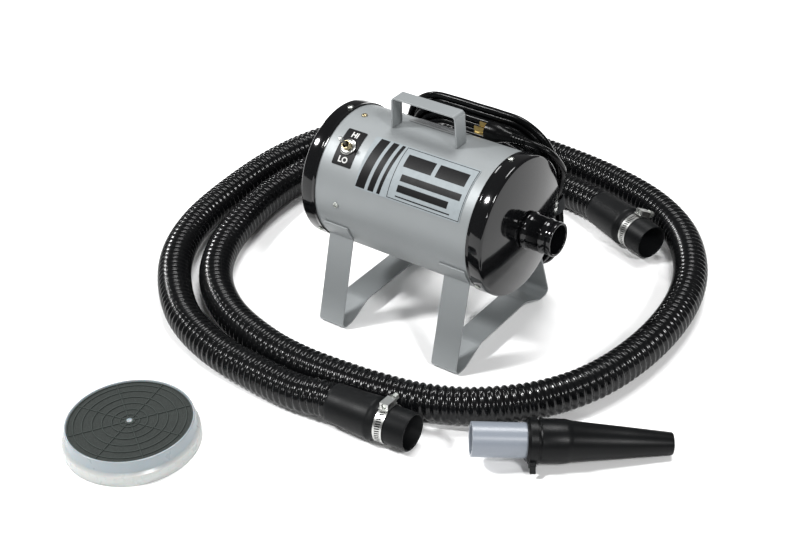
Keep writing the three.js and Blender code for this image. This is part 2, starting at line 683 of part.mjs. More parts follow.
add(drumAxis, 'baffle_plate', baffle(), ZINC);
add(drumAxis, 'rubber_mount_ring', mountRing(), SATIN_BLACK);
add(drumAxis, 'fan_housing', fanHousing(), ZINC);
IMPELLER_PLACES.forEach((x, i) => {
  add(drumAxis, `impeller_${i + 1}`, impeller().translate(x, 0, 0), ALUMINIUM);
});
const diffuserRing = ringAboutX(15, FAN_RADIUS - FAN_WALL - GAP, DIFFUSER_AT, DIFFUSER_AT + DIFFUSER_WIDTH, 32);
add(drumAxis, 'diffuser', diffuserRing, ALUMINIUM);
add(drumAxis, 'motor_shaft', shaft(), STEEL);
add(drumAxis, 'armature', ringAboutX(ROTOR_BORE, STATOR_INNER - AIR_GAP, STACK_FROM, STACK_TO, 36), IRON);
const commutatorTo = COMMUTATOR_FROM + COMMUTATOR_LENGTH;
const commutatorRing = ringAboutX(ROTOR_BORE, COMMUTATOR_RADIUS, COMMUTATOR_FROM, commutatorTo, 30);
add(drumAxis, 'commutator', commutatorRing, COPPER);
add(drumAxis, 'stator', ringAboutX(STATOR_INNER, STATOR_OUTER, STACK_FROM, STACK_TO, 40), IRON);
add(drumAxis, 'motor_frame', motorFrame(), ALUMINIUM);
[['fan_end_bearing', BEARING_BACK], ['brush_end_bearing', BEARING_FRONT]].forEach(([name, x]) => {
  add(drumAxis, name, ringAboutX(ROTOR_BORE, BEARING_RADIUS, x, x + BEARING_WIDTH, 24), STEEL);
});
[1, -1].forEach((side, i) => {
  const from = COMMUTATOR_RADIUS + GAP;
  const length = FRAME_RADIUS - FRAME_WALL - GAP - 2 - from;
  const x = COMMUTATOR_FROM + COMMUTATOR_LENGTH / 2;
  const holder = box(BRUSH_BOX, length, BRUSH_BOX, x, side * (from + length / 2), 0);
  add(drumAxis, `brush_holder_${i + 1}`, holder, BRASS);
});
const foamRing = ringAboutX(DRUM_INNER - GAP - FOAM_THICKNESS, DRUM_INNER - GAP, FAN_BACK, -CAP_SKIRT - 4, 44);
const foamNotch = stoodOff(rod(RELIEF_HOLE + 2, -FOAM_THICKNESS - 4, 4, 12), RELIEF_X, RELIEF_ANGLE, DRUM_RADIUS);
add(drumAxis, 'acoustic_foam', cut(foamRing, foamNotch), FOAM);

// ---------------------------------------------------------------- power cord, its hank and its plug
const CORD_RADIUS = CORD_DIAMETER / 2;

function tubeAlong(points, radius, steps, sides, bore = 0) {
  const curve = new THREE.CatmullRomCurve3(points.map((p) => new THREE.Vector3(...p)), false, 'centripetal');
  const shape = new THREE.Shape(circle(radius, sides));
  if (bore) shape.holes.push(new THREE.Path(circle(bore, sides).reverse()));
  return new THREE.ExtrudeGeometry(shape, { steps, extrudePath: curve, bevelEnabled: false });
}

// Local +Y runs out along the cord.
function strainRelief() {
  const c = CORD_RADIUS;
  return turned([
    [0, -8], [c + 2.6, -8], [c + 2.6, GAP], [c + 5, GAP], [c + 5, 7], [c + 3, 8], [c + 2.4, 11],
    [c + 0.6, RELIEF_LENGTH], [0, RELIEF_LENGTH],
  ], 20);
}

const reliefFrame = standOff(RELIEF_X, RELIEF_ANGLE, DRUM_RADIUS);
add(reliefFrame, 'strain_relief', strainRelief(), SATIN_BLACK);

// A point on the strain relief's line, that far beyond its end.
function beyondRelief(distance) {
  const r = DRUM_RADIUS + RELIEF_LENGTH + distance;
  return [RELIEF_X, -r * Math.sin(deg(RELIEF_ANGLE)), AXIS_HEIGHT + r * Math.cos(deg(RELIEF_ANGLE))];
}

// From the strain relief's end, behind the hank, down and round to where the cord joins its lower right side.
const CORD_ROUTE = [
  [-124, 139, 115], [-120, 143, 99], [-115, 143.2, 80], [-109, 141.5, 60], [-100, 140, 42], [-86, 138.8, 28],
  [-70, 138, 22.5],
];
const cordPoints = [beyondRelief(GAP + 0.2), beyondRelief(9), ...CORD_ROUTE];
add(group, 'power_cord', tubeAlong(cordPoints, CORD_RADIUS, 12, 8), SATIN_BLACK);

function hankOutline(inset) {
  const halfWidth = HANK_WIDTH / 2 - inset;
  const foot = inset;
  const top = HANK_HEIGHT - inset;
  const corners = [
    [0, foot], [halfWidth, foot, HANK_FOOT_CORNER - inset], [halfWidth, top, HANK_TOP_CORNER - inset],
    [-halfWidth, top, HANK_TOP_CORNER - inset], [-halfWidth, foot, HANK_FOOT_CORNER - inset], [0, foot],
  ];
  return roundedPath(corners, 8).slice(0, -1);
}

// The bundle's inner face at the floor: clear of the feet, and of the end caps that it leans towards.
const HANK_FOOT_Y = Math.max(
  LEG_HALF_SPAN + HANK_CLEARANCE.foot,
  CAP_RADIUS + HANK_CLEARANCE.cap + AXIS_HEIGHT * Math.tan(deg(HANK_LEAN)),
);
const hankFrame = new THREE.Group();
hankFrame.position.set(HANK_MIDDLE_X, HANK_FOOT_Y, 0);
hankFrame.rotation.x = deg(90 + HANK_LEAN);
group.add(hankFrame);

function hank() {
  const outer = hankOutline(0);
  const inner = hankOutline(HANK_BAND).reverse();
  return extruded(outer, HANK_THICKNESS, [inner]).translate(0, GAP, -HANK_THICKNESS);
}

add(hankFrame, 'cord_hank', hank(), SATIN_BLACK);

// The plug lies in the groove between the drum and the hank; local +Y runs from its face to its cord.
const PLUG_OUT = DRUM_RADIUS + PLUG_RADIUS + 2 * GAP;
const PLUG_Y = -PLUG_OUT * Math.sin(deg(PLUG_ANGLE));
const PLUG_Z = AXIS_HEIGHT + PLUG_OUT * Math.cos(deg(PLUG_ANGLE));
const plugFrame = new THREE.Group();
plugFrame.position.set(PLUG_FACE_X, PLUG_Y, PLUG_Z);
plugFrame.rotation.z = -Math.PI / 2;
group.add(plugFrame);

function plugBody() {
  const c = CORD_RADIUS;
  const r = PLUG_RADIUS;
  const l = PLUG_LENGTH;
  return turned([
    [0, 0], [r - 1, 0], [r, 1.2], [r, l * 0.5], [r * 0.72, l * 0.72], [c + 2.6, l], [c + 0.8, l + PLUG_BOOT],
    [0, l + PLUG_BOOT],
  ], 20);
}

add(plugFrame, 'plug_body', plugBody(), SATIN_BLACK);
const blade = PLUG_BLADE;
[-1, 1].forEach((side, i) => {
  const prong = box(blade.thickness, blade.length, blade.width, (side * blade.spacing) / 2,
    -blade.length / 2 - GAP, blade.rise);
  add(plugFrame, `plug_blade_${i + 1}`, prong, BRASS);
});
const earthPin = rod(PLUG_PIN.radius, -PLUG_PIN.length, -GAP, 10).translate(0, 0, -PLUG_PIN.drop);
add(plugFrame, 'plug_earth_pin', earthPin, BRASS);

// From the plug's boot round outside the top corner, down to the hank's right side.
const PLUG_END = PLUG_FACE_X + PLUG_LENGTH + PLUG_BOOT;
const TAIL_ROUTE = [
  [-24, 68.6, 252.7], [-8, 72, 247], [2, 79, 234], [4.5, 89.5, 216], [0, 95.8, 199], [-3.1, 97.6, 186],
];
const tailPoints = [[PLUG_END + GAP + 0.1, PLUG_Y, PLUG_Z], ...TAIL_ROUTE];
add(group, 'cord_tail', tubeAlong(tailPoints, CORD_RADIUS, 10, 8), SATIN_BLACK);

// A strap round the bundle's front upright, just above its middle.
function cordTie() {
  const t = TIE_THICKNESS;
  const w = HANK_BAND + 2 * GAP;
  const d = HANK_THICKNESS + 2 * GAP;
  const sleeve = extruded(
    [[-w / 2 - t, -d / 2 - t], [w / 2 + t, -d / 2 - t], [w / 2 + t, d / 2 + t], [-w / 2 - t, d / 2 + t]]
      .map(([x, y]) => new THREE.Vector2(x, y)),
    TIE_WIDTH,
    [[[-w / 2, -d / 2], [-w / 2, d / 2], [w / 2, d / 2], [w / 2, -d / 2]]
      .map(([x, y]) => new THREE.Vector2(x, y))],
  );
  return sleeve.rotateX(-Math.PI / 2);
}
const tie = add(hankFrame, 'cord_tie', cordTie(), GREY_RUBBER);
tie.position.set(HANK_WIDTH / 2 - HANK_BAND / 2, TIE_HEIGHT, -HANK_THICKNESS / 2);

// ---------------------------------------------------------------- hose and its cuffs
const CUFF_LIFT = CUFF_SHOULDER_RADIUS;

function cuffFrame({ start, direction }) {
  const frame = new THREE.Group();
  frame.position.set(start[0], start[1], CUFF_LIFT);
  const along = new THREE.Vector3(direction[0], direction[1], 0).normalize();
  const up = new THREE.Vector3(0, 0, 1);
  frame.quaternion.setFromRotationMatrix(
    new THREE.Matrix4().makeBasis(along, new THREE.Vector3().crossVectors(up, along), up),
  );
  group.add(frame);
  return frame;
}

function cuff() {
  const at = CUFF_SHOULDER_AT;
  const neck = CUFF_MOUTH_RADIUS;
  const shoulder = CUFF_SHOULDER_RADIUS;
  const socket = HOSE_BORE / 2 + 0.5;
  return turnedAboutX([
    [CUFF_START_RADIUS - 0.8, 0], [CUFF_START_RADIUS, 0.8], [shoulder - 0.4, at - 6], [shoulder, at - 2],
    [shoulder - 1, at + 1.5], [neck + 0.4, at + 5.5], [neck, at + 7], [neck, CUFF_LENGTH - 0.8],
    [neck - 0.8, CUFF_LENGTH], [CUFF_BORE_RADIUS, CUFF_LENGTH], [CUFF_BORE_RADIUS, at], [socket, at - 8],
    [socket, 0],
  ], 22);
}

const BAND_INNER = CUFF_MOUTH_RADIUS + GAP;
const HOUSING = { length: 18, width: CLAMP_WIDTH - 1, height: 8 };
const SCREW_HEIGHT = BAND_INNER + CLAMP_THICKNESS + HOUSING.height / 2 - 0.4;

// The band with its worm housing at the top, centred on x = 0; the worm runs along Y.
function clampBand() {
  const half = CLAMP_WIDTH / 2;
  const band = ringAboutX(BAND_INNER, BAND_INNER + CLAMP_THICKNESS, -half, half, 24);
  const housing = box(HOUSING.width, HOUSING.length, HOUSING.height, 0, 0,
    BAND_INNER + CLAMP_THICKNESS + HOUSING.height / 2 - 0.4);
  const bore = rod(CLAMP_SCREW_RADIUS + GAP, -HOUSING.length, HOUSING.length, 14).translate(0, 0, SCREW_HEIGHT);
  return cut(joined(band, cut(housing, rod(BAND_INNER + 0.2, -9, 9, 24).rotateZ(Math.PI / 2))), bore);
}

// Turned about its own axis, local +Y, with a hex head.
function clampScrew() {
  const r = CLAMP_SCREW_RADIUS;
  const end = HOUSING.length / 2;
  const shank = rod(r, -end + 1, end + 2.5, 14);
  return joined(shank, rod(4.6, end + 2, end + 10, 6));
}

for (const [key, place] of Object.entries({ a: CUFF_A, b: CUFF_B })) {
  const frame = cuffFrame(place);
  add(frame, `cuff_${key}`, cuff(), SATIN_BLACK);
  const clampFrame = new THREE.Group();
  clampFrame.position.x = CLAMP_AT + CLAMP_WIDTH / 2;
  clampFrame.rotation.x = deg(place.screwAngle);
  frame.add(clampFrame);
  add(clampFrame, `clamp_band_${key}`, clampBand(), STEEL);
  add(clampFrame, `clamp_screw_${key}`, clampScrew().translate(0, 0, SCREW_HEIGHT), ZINC);
}

function hoseTube() {
  const low = HOSE_DIAMETER / 2 + 0.5;
  const lead = ({ start, direction }, back, z) => {
    const along = new THREE.Vector2(...direction).normalize();
    return [start[0] - along.x * back, start[1] - along.y * back, z];
  };
  const points = [
    lead(CUFF_B, 2 * GAP, CUFF_LIFT), lead(CUFF_B, 16, CUFF_LIFT),
    ...HOSE_ROUTE.map(([x, y], i) => [x, y, i === 0 ? low + 0.8 : low]),
    lead(CUFF_A, 16, CUFF_LIFT), lead(CUFF_A, 2 * GAP, CUFF_LIFT),
  ];
  return tubeAlong(points, HOSE_DIAMETER / 2, 54, 9, HOSE_BORE / 2);
}
add(group, 'hose_tube', hoseTube(), GLOSS_BLACK);

// ---------------------------------------------------------------- nozzle
const nozzleTilt = Math.asin(
  (NOZZLE_SLEEVE_RADIUS - NOZZLE_TIP_RADIUS) / NOZZLE_TAPER_LENGTH,
);
const SLEEVE_FROM = NOZZLE_TUBE_SHOWN;
const SLEEVE_TO = SLEEVE_FROM + NOZZLE_SLEEVE_LENGTH;
const NOZZLE_LENGTH = SLEEVE_TO + NOZZLE_TAPER_LENGTH;
const nozzleFrame = new THREE.Group();
nozzleFrame.position.set(NOZZLE_START.x, NOZZLE_START.y,
  NOZZLE_SLEEVE_RADIUS + GAP / 2 + SLEEVE_TO * Math.sin(nozzleTilt));
nozzleFrame.rotation.set(0, nozzleTilt, NOZZLE_HEADING, 'ZYX');
group.add(nozzleFrame);

function nozzleCone() {
  const bore = NOZZLE_TUBE_RADIUS + GAP;
  const r = NOZZLE_SLEEVE_RADIUS;
  const seat = NOZZLE_TUBE_LENGTH + GAP;
  return turnedAboutX([
    [bore, SLEEVE_FROM], [r - 1.5, SLEEVE_FROM], [r - 1.5, SLEEVE_FROM + 15], [r, SLEEVE_FROM + 17],
    [r, SLEEVE_TO - 3], [r - 1.5, SLEEVE_TO + 3], [NOZZLE_TIP_RADIUS + 0.2, NOZZLE_LENGTH - 1.5],
    [NOZZLE_TIP_RADIUS - 0.6, NOZZLE_LENGTH], [NOZZLE_TIP_RADIUS - NOZZLE_TIP_WALL, NOZZLE_LENGTH],
    [NOZZLE_TUBE_RADIUS - 2, seat], [bore, seat],
  ], 22);
}

// A ratchet clamp: a ring with a pinched pair of jaws and a finger tab, standing out at the near lower side.
function nozzleClamp() {
  const from = SLEEVE_FROM + 3;
  const inner = NOZZLE_SLEEVE_RADIUS - 1.5 + GAP;
  const outer = inner + NOZZLE_CLAMP_WALL;
  const ring = ringAboutX(inner, outer, from, from + NOZZLE_CLAMP_WIDTH, 28);
  const x = from + NOZZLE_CLAMP_WIDTH / 2;
  const jaw = box(NOZZLE_CLAMP_WIDTH - 1, 12, 5, x, 0, outer + 1.6);
  const tab = box(NOZZLE_CLAMP_WIDTH - 2, 3, NOZZLE_TAB_LENGTH, x, 3, outer + NOZZLE_TAB_LENGTH / 2 - 1);
  return joined(ring, jaw, tab).rotateX(deg(NOZZLE_TAB_ANGLE));
}

const t = NOZZLE_TUBE_WALL;
const pipe = ringAboutX(NOZZLE_TUBE_RADIUS - t, NOZZLE_TUBE_RADIUS, 0, NOZZLE_TUBE_LENGTH, 28);
add(nozzleFrame, 'nozzle_tube', pipe, GREY_PVC);
add(nozzleFrame, 'nozzle_cone', nozzleCone(), SATIN_BLACK);
add(nozzleFrame, 'nozzle_clamp', nozzleClamp(), SATIN_BLACK);

// ---------------------------------------------------------------- filter cap
const filterFrame = new THREE.Group();
filterFrame.position.set(FILTER_CENTRE.x, FILTER_CENTRE.y, 0);
group.add(filterFrame);
const FOAM_TOP = FILTER_HEIGHT - 2.4;
const FOAM_FOOT = FOAM_TOP - FILTER_FOAM_THICKNESS;

// The ring, with four spokes under the foam and a post through its middle.
function filterRing() {
  const w = FILTER_WALL;
  const step = FILTER_STEP;
  const ring = turned([
    [FILTER_RADIUS - w, 0], [FILTER_RADIUS, 0], [FILTER_RADIUS - 0.6, step - 3], [FILTER_RIM_RADIUS + 1, step],
    [FILTER_RIM_RADIUS, FILTER_HEIGHT - 0.8], [FILTER_RIM_RADIUS - 0.8, FILTER_HEIGHT],
    [FILTER_RIM_RADIUS - w, FILTER_HEIGHT], [FILTER_RIM_RADIUS - w, step - w], [FILTER_RADIUS - w, step - w - 4],
  ], 40);
  const reach = 2 * (FILTER_RIM_RADIUS - 1);
  const low = FOAM_FOOT - GAP - 2;
  const spokes = [box(reach, 3, 4, 0, 0, low), box(3, reach, 4, 0, 0, low)];
  const post = rod(FILTER_POST_RADIUS, low, FILTER_HEIGHT - 1, 12).rotateX(Math.PI / 2);
  return joined(ring.rotateX(Math.PI / 2), ...spokes, post);
}

function filterFoam() {
  const inner = FILTER_POST_RADIUS + GAP;
  const outer = FILTER_RIM_RADIUS - FILTER_WALL - GAP;
  const disc = turned([[inner, FOAM_FOOT], [outer, FOAM_FOOT], [outer, FOAM_TOP], [inner, FOAM_TOP]], 40);
  return disc.rotateX(Math.PI / 2);
}

// A thin web of rings and spokes over the foam.
function filterWeb() {
  const low = FOAM_TOP + GAP;
  const high = low + 0.8;
  const outer = FILTER_RIM_RADIUS - FILTER_WALL - GAP;
  const hoops = [...FILTER_WEB_RINGS, outer - 0.8].map((r) => turned(
    [[r - 0.8, low], [r + 0.8, low], [r + 0.8, high], [r - 0.8, high]], 24,
  ).rotateX(Math.PI / 2));
  const spokes = [];
  for (let k = 0; k < 6; k += 1) {
    const length = outer - 6;
    spokes.push(box(length, 1.4, 0.8, 5 + length / 2, 0, (low + high) / 2).rotateZ((k * Math.PI) / 3 + 0.2));
  }
  const hub = turned([[FILTER_POST_RADIUS + GAP, low], [7, low], [7, high], [FILTER_POST_RADIUS + GAP, high]], 16);
  return joined(...hoops, hub.rotateX(Math.PI / 2), ...spokes);
}

add(filterFrame, 'filter_ring', filterRing(), CLEAR_WHITE);
add(filterFrame, 'filter_foam', filterFoam(), FILTER_FOAM);
add(filterFrame, 'filter_web', filterWeb(), GREY_RUBBER);

// ---------------------------------------------------------------- origin
// The middle of the base of everything that is neither cord nor hose.
const LIES_FREE = /^(power_cord|cord_|plug_|hose_|cuff_|clamp_)/;
group.updateMatrixWorld(true);
const bounds = new THREE.Box3();
group.traverse((node) => {
  if (node.isMesh && !LIES_FREE.test(node.name)) bounds.expandByObject(node, true);
});
const middle = bounds.getCenter(new THREE.Vector3());
group.position.set(-middle.x, -middle.y, -bounds.min.z);

export default group;
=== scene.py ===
import json
import math
import random

import bmesh
import bpy
from mathutils import Matrix, Vector


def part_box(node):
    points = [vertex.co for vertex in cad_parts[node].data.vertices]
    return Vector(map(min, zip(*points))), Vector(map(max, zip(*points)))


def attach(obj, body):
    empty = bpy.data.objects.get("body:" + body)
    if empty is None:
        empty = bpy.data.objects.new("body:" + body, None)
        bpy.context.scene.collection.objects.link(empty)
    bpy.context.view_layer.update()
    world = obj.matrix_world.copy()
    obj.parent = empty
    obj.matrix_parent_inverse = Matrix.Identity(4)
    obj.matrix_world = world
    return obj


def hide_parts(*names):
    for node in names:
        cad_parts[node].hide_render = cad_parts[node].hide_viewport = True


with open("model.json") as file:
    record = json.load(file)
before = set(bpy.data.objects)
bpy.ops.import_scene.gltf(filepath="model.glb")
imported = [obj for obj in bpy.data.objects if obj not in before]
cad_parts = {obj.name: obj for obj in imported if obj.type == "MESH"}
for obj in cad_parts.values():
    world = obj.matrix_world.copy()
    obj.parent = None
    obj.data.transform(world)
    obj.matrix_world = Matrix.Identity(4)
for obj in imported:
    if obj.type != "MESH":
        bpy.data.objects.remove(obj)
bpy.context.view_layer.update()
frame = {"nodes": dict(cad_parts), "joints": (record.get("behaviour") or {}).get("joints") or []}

bl_info = {
    "name": "Pet Dryer",
    "version": (1, 0, 0),
    "blender": (4, 5, 0),
    "location": "View3D > Sidebar > Dryer",
    "description": "Builds a drum dryer's finished surfaces, hose, nozzle, filter cap and power cord",
    "category": "Object",
}

MM = 0.001

# ---------------------------------------------------------------- places, from the frame
CAP_LOW, CAP_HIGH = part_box("front_end_cap")
REAR_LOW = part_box("rear_end_cap")[0]
DRUM_LOW, DRUM_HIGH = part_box("drum_shell")
# Local lengths below are in millimetres from here: the floor under the edge of the front cap's face.
DRUM_INSET = 5.5  # from a cap's face to the end of the drum inside it
ORIGIN = Vector((DRUM_HIGH.x + DRUM_INSET * MM, (DRUM_LOW.y + DRUM_HIGH.y) / 2, 0))
AXIS_HEIGHT = (DRUM_LOW.z + DRUM_HIGH.z) / 2 / MM
DRUM_RADIUS = (DRUM_HIGH.z - DRUM_LOW.z) / 2 / MM
CAP_RADIUS = (CAP_HIGH.z - CAP_LOW.z) / 2 / MM
BODY_LENGTH = (ORIGIN.x - REAR_LOW.x) / MM
CAP_SKIRT = (ORIGIN.x - CAP_LOW.x) / MM
CAP_DOME = 11  # the front cap's rise, carried on to its middle
JOINTS = {joint["name"]: joint for joint in frame["joints"]}

DRUM_WALL = 1.2
OUTLET_HOLE_RADIUS = 21.4
AIR_HOLE_RADIUS = 7
AIR_HOLE_RINGS = ((26, 5), (46, 9), (66, 13))  # each ring's radius and its number of holes
# Angles round the drum are in degrees from its top towards -Y.
CAP_SCREW_INSET = 16.5
CAP_SCREW_ANGLES = (-1, 125, -125)
BAFFLE_SCREWS = ((43, 2), (57, 87), (57, -87))  # from the rear face, and round the drum
SWITCH_X = 55.4 - BODY_LENGTH
SWITCH_ANGLE = 37.2
SWITCH_CASE_TOP = -3.1  # below the drum's outside
PLATE_LIFT = 0.3  # a label's or plate's back above the drum
PLATE_THICKNESS = 0.4
PRINT_LIFT = 0.7
PRINT_THICKNESS = 0.05
NAME_LABEL_ENDS = (84 - BODY_LENGTH, -37.5)
NAME_LABEL_ANGLE = 43
HANDLE_MIDDLE = 1.5 - BODY_LENGTH / 2
HANDLE_RISE = 44
HANDLE_SPAN = 98.5
HANDLE_WIDTH = 21.2
HANDLE_THICKNESS = 2.4
RATING_LABEL_MIDDLE = HANDLE_MIDDLE - 6
RATING_LABEL_ANGLE = -22.5
LEG_MIDDLES = {"front_leg": -46.4, "rear_leg": 51.9 - BODY_LENGTH}
LEG_WIDTH = 38.6
LEG_THICKNESS = 2.0
RELIEF_X = -128
RELIEF_ANGLE = -110
RELIEF_LENGTH = 36

HANK_WIDTH = 242
HANK_HEIGHT = 270
HANK_MIDDLE_X = -129
HANK_FOOT_Y = 116
HANK_LEAN = math.radians(7.1)
HANK_TOP_CORNER = 70
HANK_FOOT_CORNER = 110
HANK_STEPS = 72  # points in each turn
LANE_CHANGE = 0.14  # the part of a turn in which the cord moves over to its next lane
CORD_JOINS = 0.13  # how far round its first turn the cord joins the bundle
CORD_LEAVES = 0.29  # how far round its last turn it leaves it
# Each turn's inset from the outside of the bundle, and its depth behind the bundle's inner face.
HANK_TURNS = (
    (4.7, 13.3), (14, 13.3), (23.5, 13.3), (33, 13.3), (42, 11),
    (38, 4.8), (28.5, 4.7), (19, 4.7), (9.5, 4.7),
)

CUFF_LENGTH = 114
CUFF_LIFT = 28.3
CUFFS = {
    "a": {"start": (-57, 298), "direction": (107, -41), "joint": "worm_a_turn", "turn": -28},
    "b": {"start": (-102, -264), "direction": (114, 7), "joint": "worm_b_turn", "turn": -5},
}
CLAMP_PLACE = 78.35
CLAMP_RADIUS = 24.5
CLAMP_THICKNESS = 0.8
CLAMP_WIDTH = 12.7
CLAMP_SLOTS = 44
HOSE_RADIUS = 23.5
HOSE_PITCH = 9.6
HOSE_SIDES = 26
ROWS_PER_RIB = 7
HOSE_LEAVES_CUFF = (-11, 0.6, 16)  # points on a cuff's axis that the hose passes, behind the cuff's start

NOZZLE_START = (82.6, -238.8)
NOZZLE_HEADING = 0.6735
NOZZLE_SLEEVE_RADIUS = 26.5
NOZZLE_LENGTH = 240
NOZZLE_SLEEVE_END = 115
NOZZLE_CLAMP_PLACE = 72.5
NOZZLE_TAB_ANGLE = 130
NOZZLE_TIP_RADIUS = 13.6
FILTER_CENTRE = (-286, -431.5)
FILTER_WEB_RINGS = (12, 22, 34, 46, 58, 69, 75.7)
FILTER_RIBS = 48

# The routes that the loose stretches follow, in metres from the same place.
HOSE_ROUTE = [
    (-0.155, -0.270), (-0.239, -0.267), (-0.308, -0.257), (-0.385, -0.227), (-0.456, -0.170), (-0.5, -0.112),
    (-0.528, -0.042), (-0.541, 0.050), (-0.541, 0.155), (-0.520, 0.240), (-0.470, 0.318), (-0.390, 0.370),
    (-0.290, 0.394), (-0.182, 0.391), (-0.086, 0.378), (0.001, 0.351), (0.068, 0.306), (0.119, 0.240),
    (0.147, 0.170), (0.158, 0.088), (0.152, 0.004), (0.134, -0.060), (0.104, -0.112), (0.070, -0.148),
    (0.030, -0.178), (-0.018, -0.199), (-0.079, -0.212), (-0.130, -0.218), (-0.190, -0.221), (-0.256, -0.214),
    (-0.340, -0.187), (-0.409, -0.137), (-0.454, -0.068), (-0.481, 0.030), (-0.485, 0.118), (-0.463, 0.211),
    (-0.408, 0.279), (-0.325, 0.312), (-0.235, 0.326), (-0.145, 0.320),
]
CORD_ROUTE = [
    (-0.124, 0.139, 0.115), (-0.120, 0.143, 0.099), (-0.115, 0.1432, 0.080), (-0.109, 0.1415, 0.060),
    (-0.100, 0.140, 0.042), (-0.086, 0.1388, 0.028), (-0.070, 0.138, 0.0225),
]
TAIL_ROUTE = [
    (-0.024, 0.0686, 0.2527), (-0.008, 0.072, 0.247), (0.002, 0.079, 0.234), (0.0045, 0.0895, 0.216),
    (0.000, 0.0958, 0.199), (-0.0031, 0.0976, 0.186),
]
PLUG_FACE_X = -95
PLUG_LENGTH = 36
PLUG_BOOT = 22
PLUG_RADIUS = 12.5
PLUG_ANGLE = -41.2


# ---------------------------------------------------------------- settings
class DryerSizes(bpy.types.PropertyGroup):
    cord_diameter: bpy.props.FloatProperty(
        name="Cord diameter", description="Outside diameter of the power cord", default=0.009, unit="LENGTH")
    hose_ribs: bpy.props.FloatProperty(
        name="Rib height", description="How far the hose's ribs stand out", default=0.0031, unit="LENGTH")
    edge: bpy.props.FloatProperty(
        name="Edge radius", description="Rounding along the edges of sheet and strap", default=0.0004,
        unit="LENGTH")
    floor_size: bpy.props.FloatProperty(
        name="Floor size", description="Side of the floor", default=24.0, unit="LENGTH")


class DryerColours(bpy.types.PropertyGroup):
    drum: bpy.props.FloatVectorProperty(
        name="Drum paint", description="Silver paint of the drum, legs and handle", subtype="COLOR", size=3,
        default=(0.225, 0.240, 0.245), min=0, max=1)
    caps: bpy.props.FloatVectorProperty(
        name="Cap paint", description="Gloss black of the end caps and outlet", subtype="COLOR", size=3,
        default=(0.0022, 0.0023, 0.0026), min=0, max=1)
    hose: bpy.props.FloatVectorProperty(
        name="Hose vinyl", description="Black of the corrugated hose", subtype="COLOR", size=3,
        default=(0.0016, 0.0017, 0.0019), min=0, max=1)
    rubber: bpy.props.FloatVectorProperty(
        name="Rubber", description="Black of the cuffs, nozzle and cord", subtype="COLOR", size=3,
        default=(0.0032, 0.0035, 0.0038), min=0, max=1)
    pipe: bpy.props.FloatVectorProperty(
        name="Pipe", description="Grey of the nozzle's plastic pipe", subtype="COLOR", size=3,
        default=(0.175, 0.195, 0.225), min=0, max=1)
    foam: bpy.props.FloatVectorProperty(
        name="Filter foam", description="Dark grey-green of the filter foam", subtype="COLOR", size=3,
        default=(0.0135, 0.0172, 0.0155), min=0, max=1)
    floor: bpy.props.FloatVectorProperty(
        name="Floor", description="Pale floor", subtype="COLOR", size=3,
        default=(0.93, 0.93, 0.93), min=0, max=1)


def sizes():
    return bpy.context.scene.dryer_sizes


def colours():
    return bpy.context.scene.dryer_colours


# ---------------------------------------------------------------- shader maths
class Value:
    """A node's output socket that can be used in arithmetic."""

    def __init__(self, shader, socket):
        self.shader = shader
        self.socket = socket

    def combine(self, operation, first, second):
        return self.shader.node("ShaderNodeMath", {"operation": operation}, {0: first, 1: second}).out(0)

    def __add__(self, other):
        return self.combine("ADD", self, other)

    def __radd__(self, other):
        return self.combine("ADD", other, self)

    def __sub__(self, other):
        return self.combine("SUBTRACT", self, other)

    def __rsub__(self, other):
        return self.combine("SUBTRACT", other, self)

    def __mul__(self, other):
        return self.combine("MULTIPLY", self, other)

    def __rmul__(self, other):
        return self.combine("MULTIPLY", other, self)


class Made:
    """A node that has just been made."""

    def __init__(self, shader, node):
        self.shader = shader
        self.node = node

    def out(self, which):
        return Value(self.shader, self.node.outputs[which])


class Shader:
    """One material's nodes."""

    def __init__(self, name):
        self.material = bpy.data.materials.new(name)
        self.material.use_nodes = True
        self.tree = self.material.node_tree
        self.surface = self.tree.nodes["Principled BSDF"]

    def node(self, kind, settings=None, inputs=None):
        made = self.tree.nodes.new(kind)
        for key, value in (settings or {}).items():
            setattr(made, key, value)
        for key, value in (inputs or {}).items():
            self.feed(made.inputs[key], value)
        return Made(self, made)

    def feed(self, socket, value):
        if isinstance(value, Value):
            self.tree.links.new(value.socket, socket)
        else:
            socket.default_value = value

    def place(self):
        return self.node("ShaderNodeTexCoord").out("Object")

    def stretched(self, scale):
        return self.node("ShaderNodeMapping", None, {"Vector": self.place(), "Scale": scale}).out(0)

    def noise(self, scale, detail=3.0, where=None):
        inputs = {"Vector": where or self.place(), "Scale": scale, "Detail": detail}
        return self.node("ShaderNodeTexNoise", None, inputs).out("Fac")

    def cells(self, scale):
        inputs = {"Vector": self.place(), "Scale": scale}
        return self.node("ShaderNodeTexVoronoi", None, inputs).out("Distance")

    def mix(self, factor, first, second):
        inputs = {"Factor": factor, 6: (*first, 1.0), 7: (*second, 1.0)}
        return self.node("ShaderNodeMix", {"data_type": "RGBA"}, inputs).out(2)

    def colour(self, value):
        self.feed(self.surface.inputs["Base Color"], value if isinstance(value, Value) else (*value, 1.0))

    def rough(self, value):
        self.feed(self.surface.inputs["Roughness"], value)

    def fixed(self, **values):
        for key, value in values.items():
            self.surface.inputs[key.replace("_", " ").title().replace("Ior", "IOR")].default_value = value

    def bump(self, height, depth, strength=1.0):
        inputs = {"Height": height, "Distance": depth, "Strength": strength}
        self.feed(self.surface.inputs["Normal"], self.node("ShaderNodeBump", None, inputs).out(0))


def shaded(colour, amount):
    return tuple(min(1.0, part * amount) for part in colour)


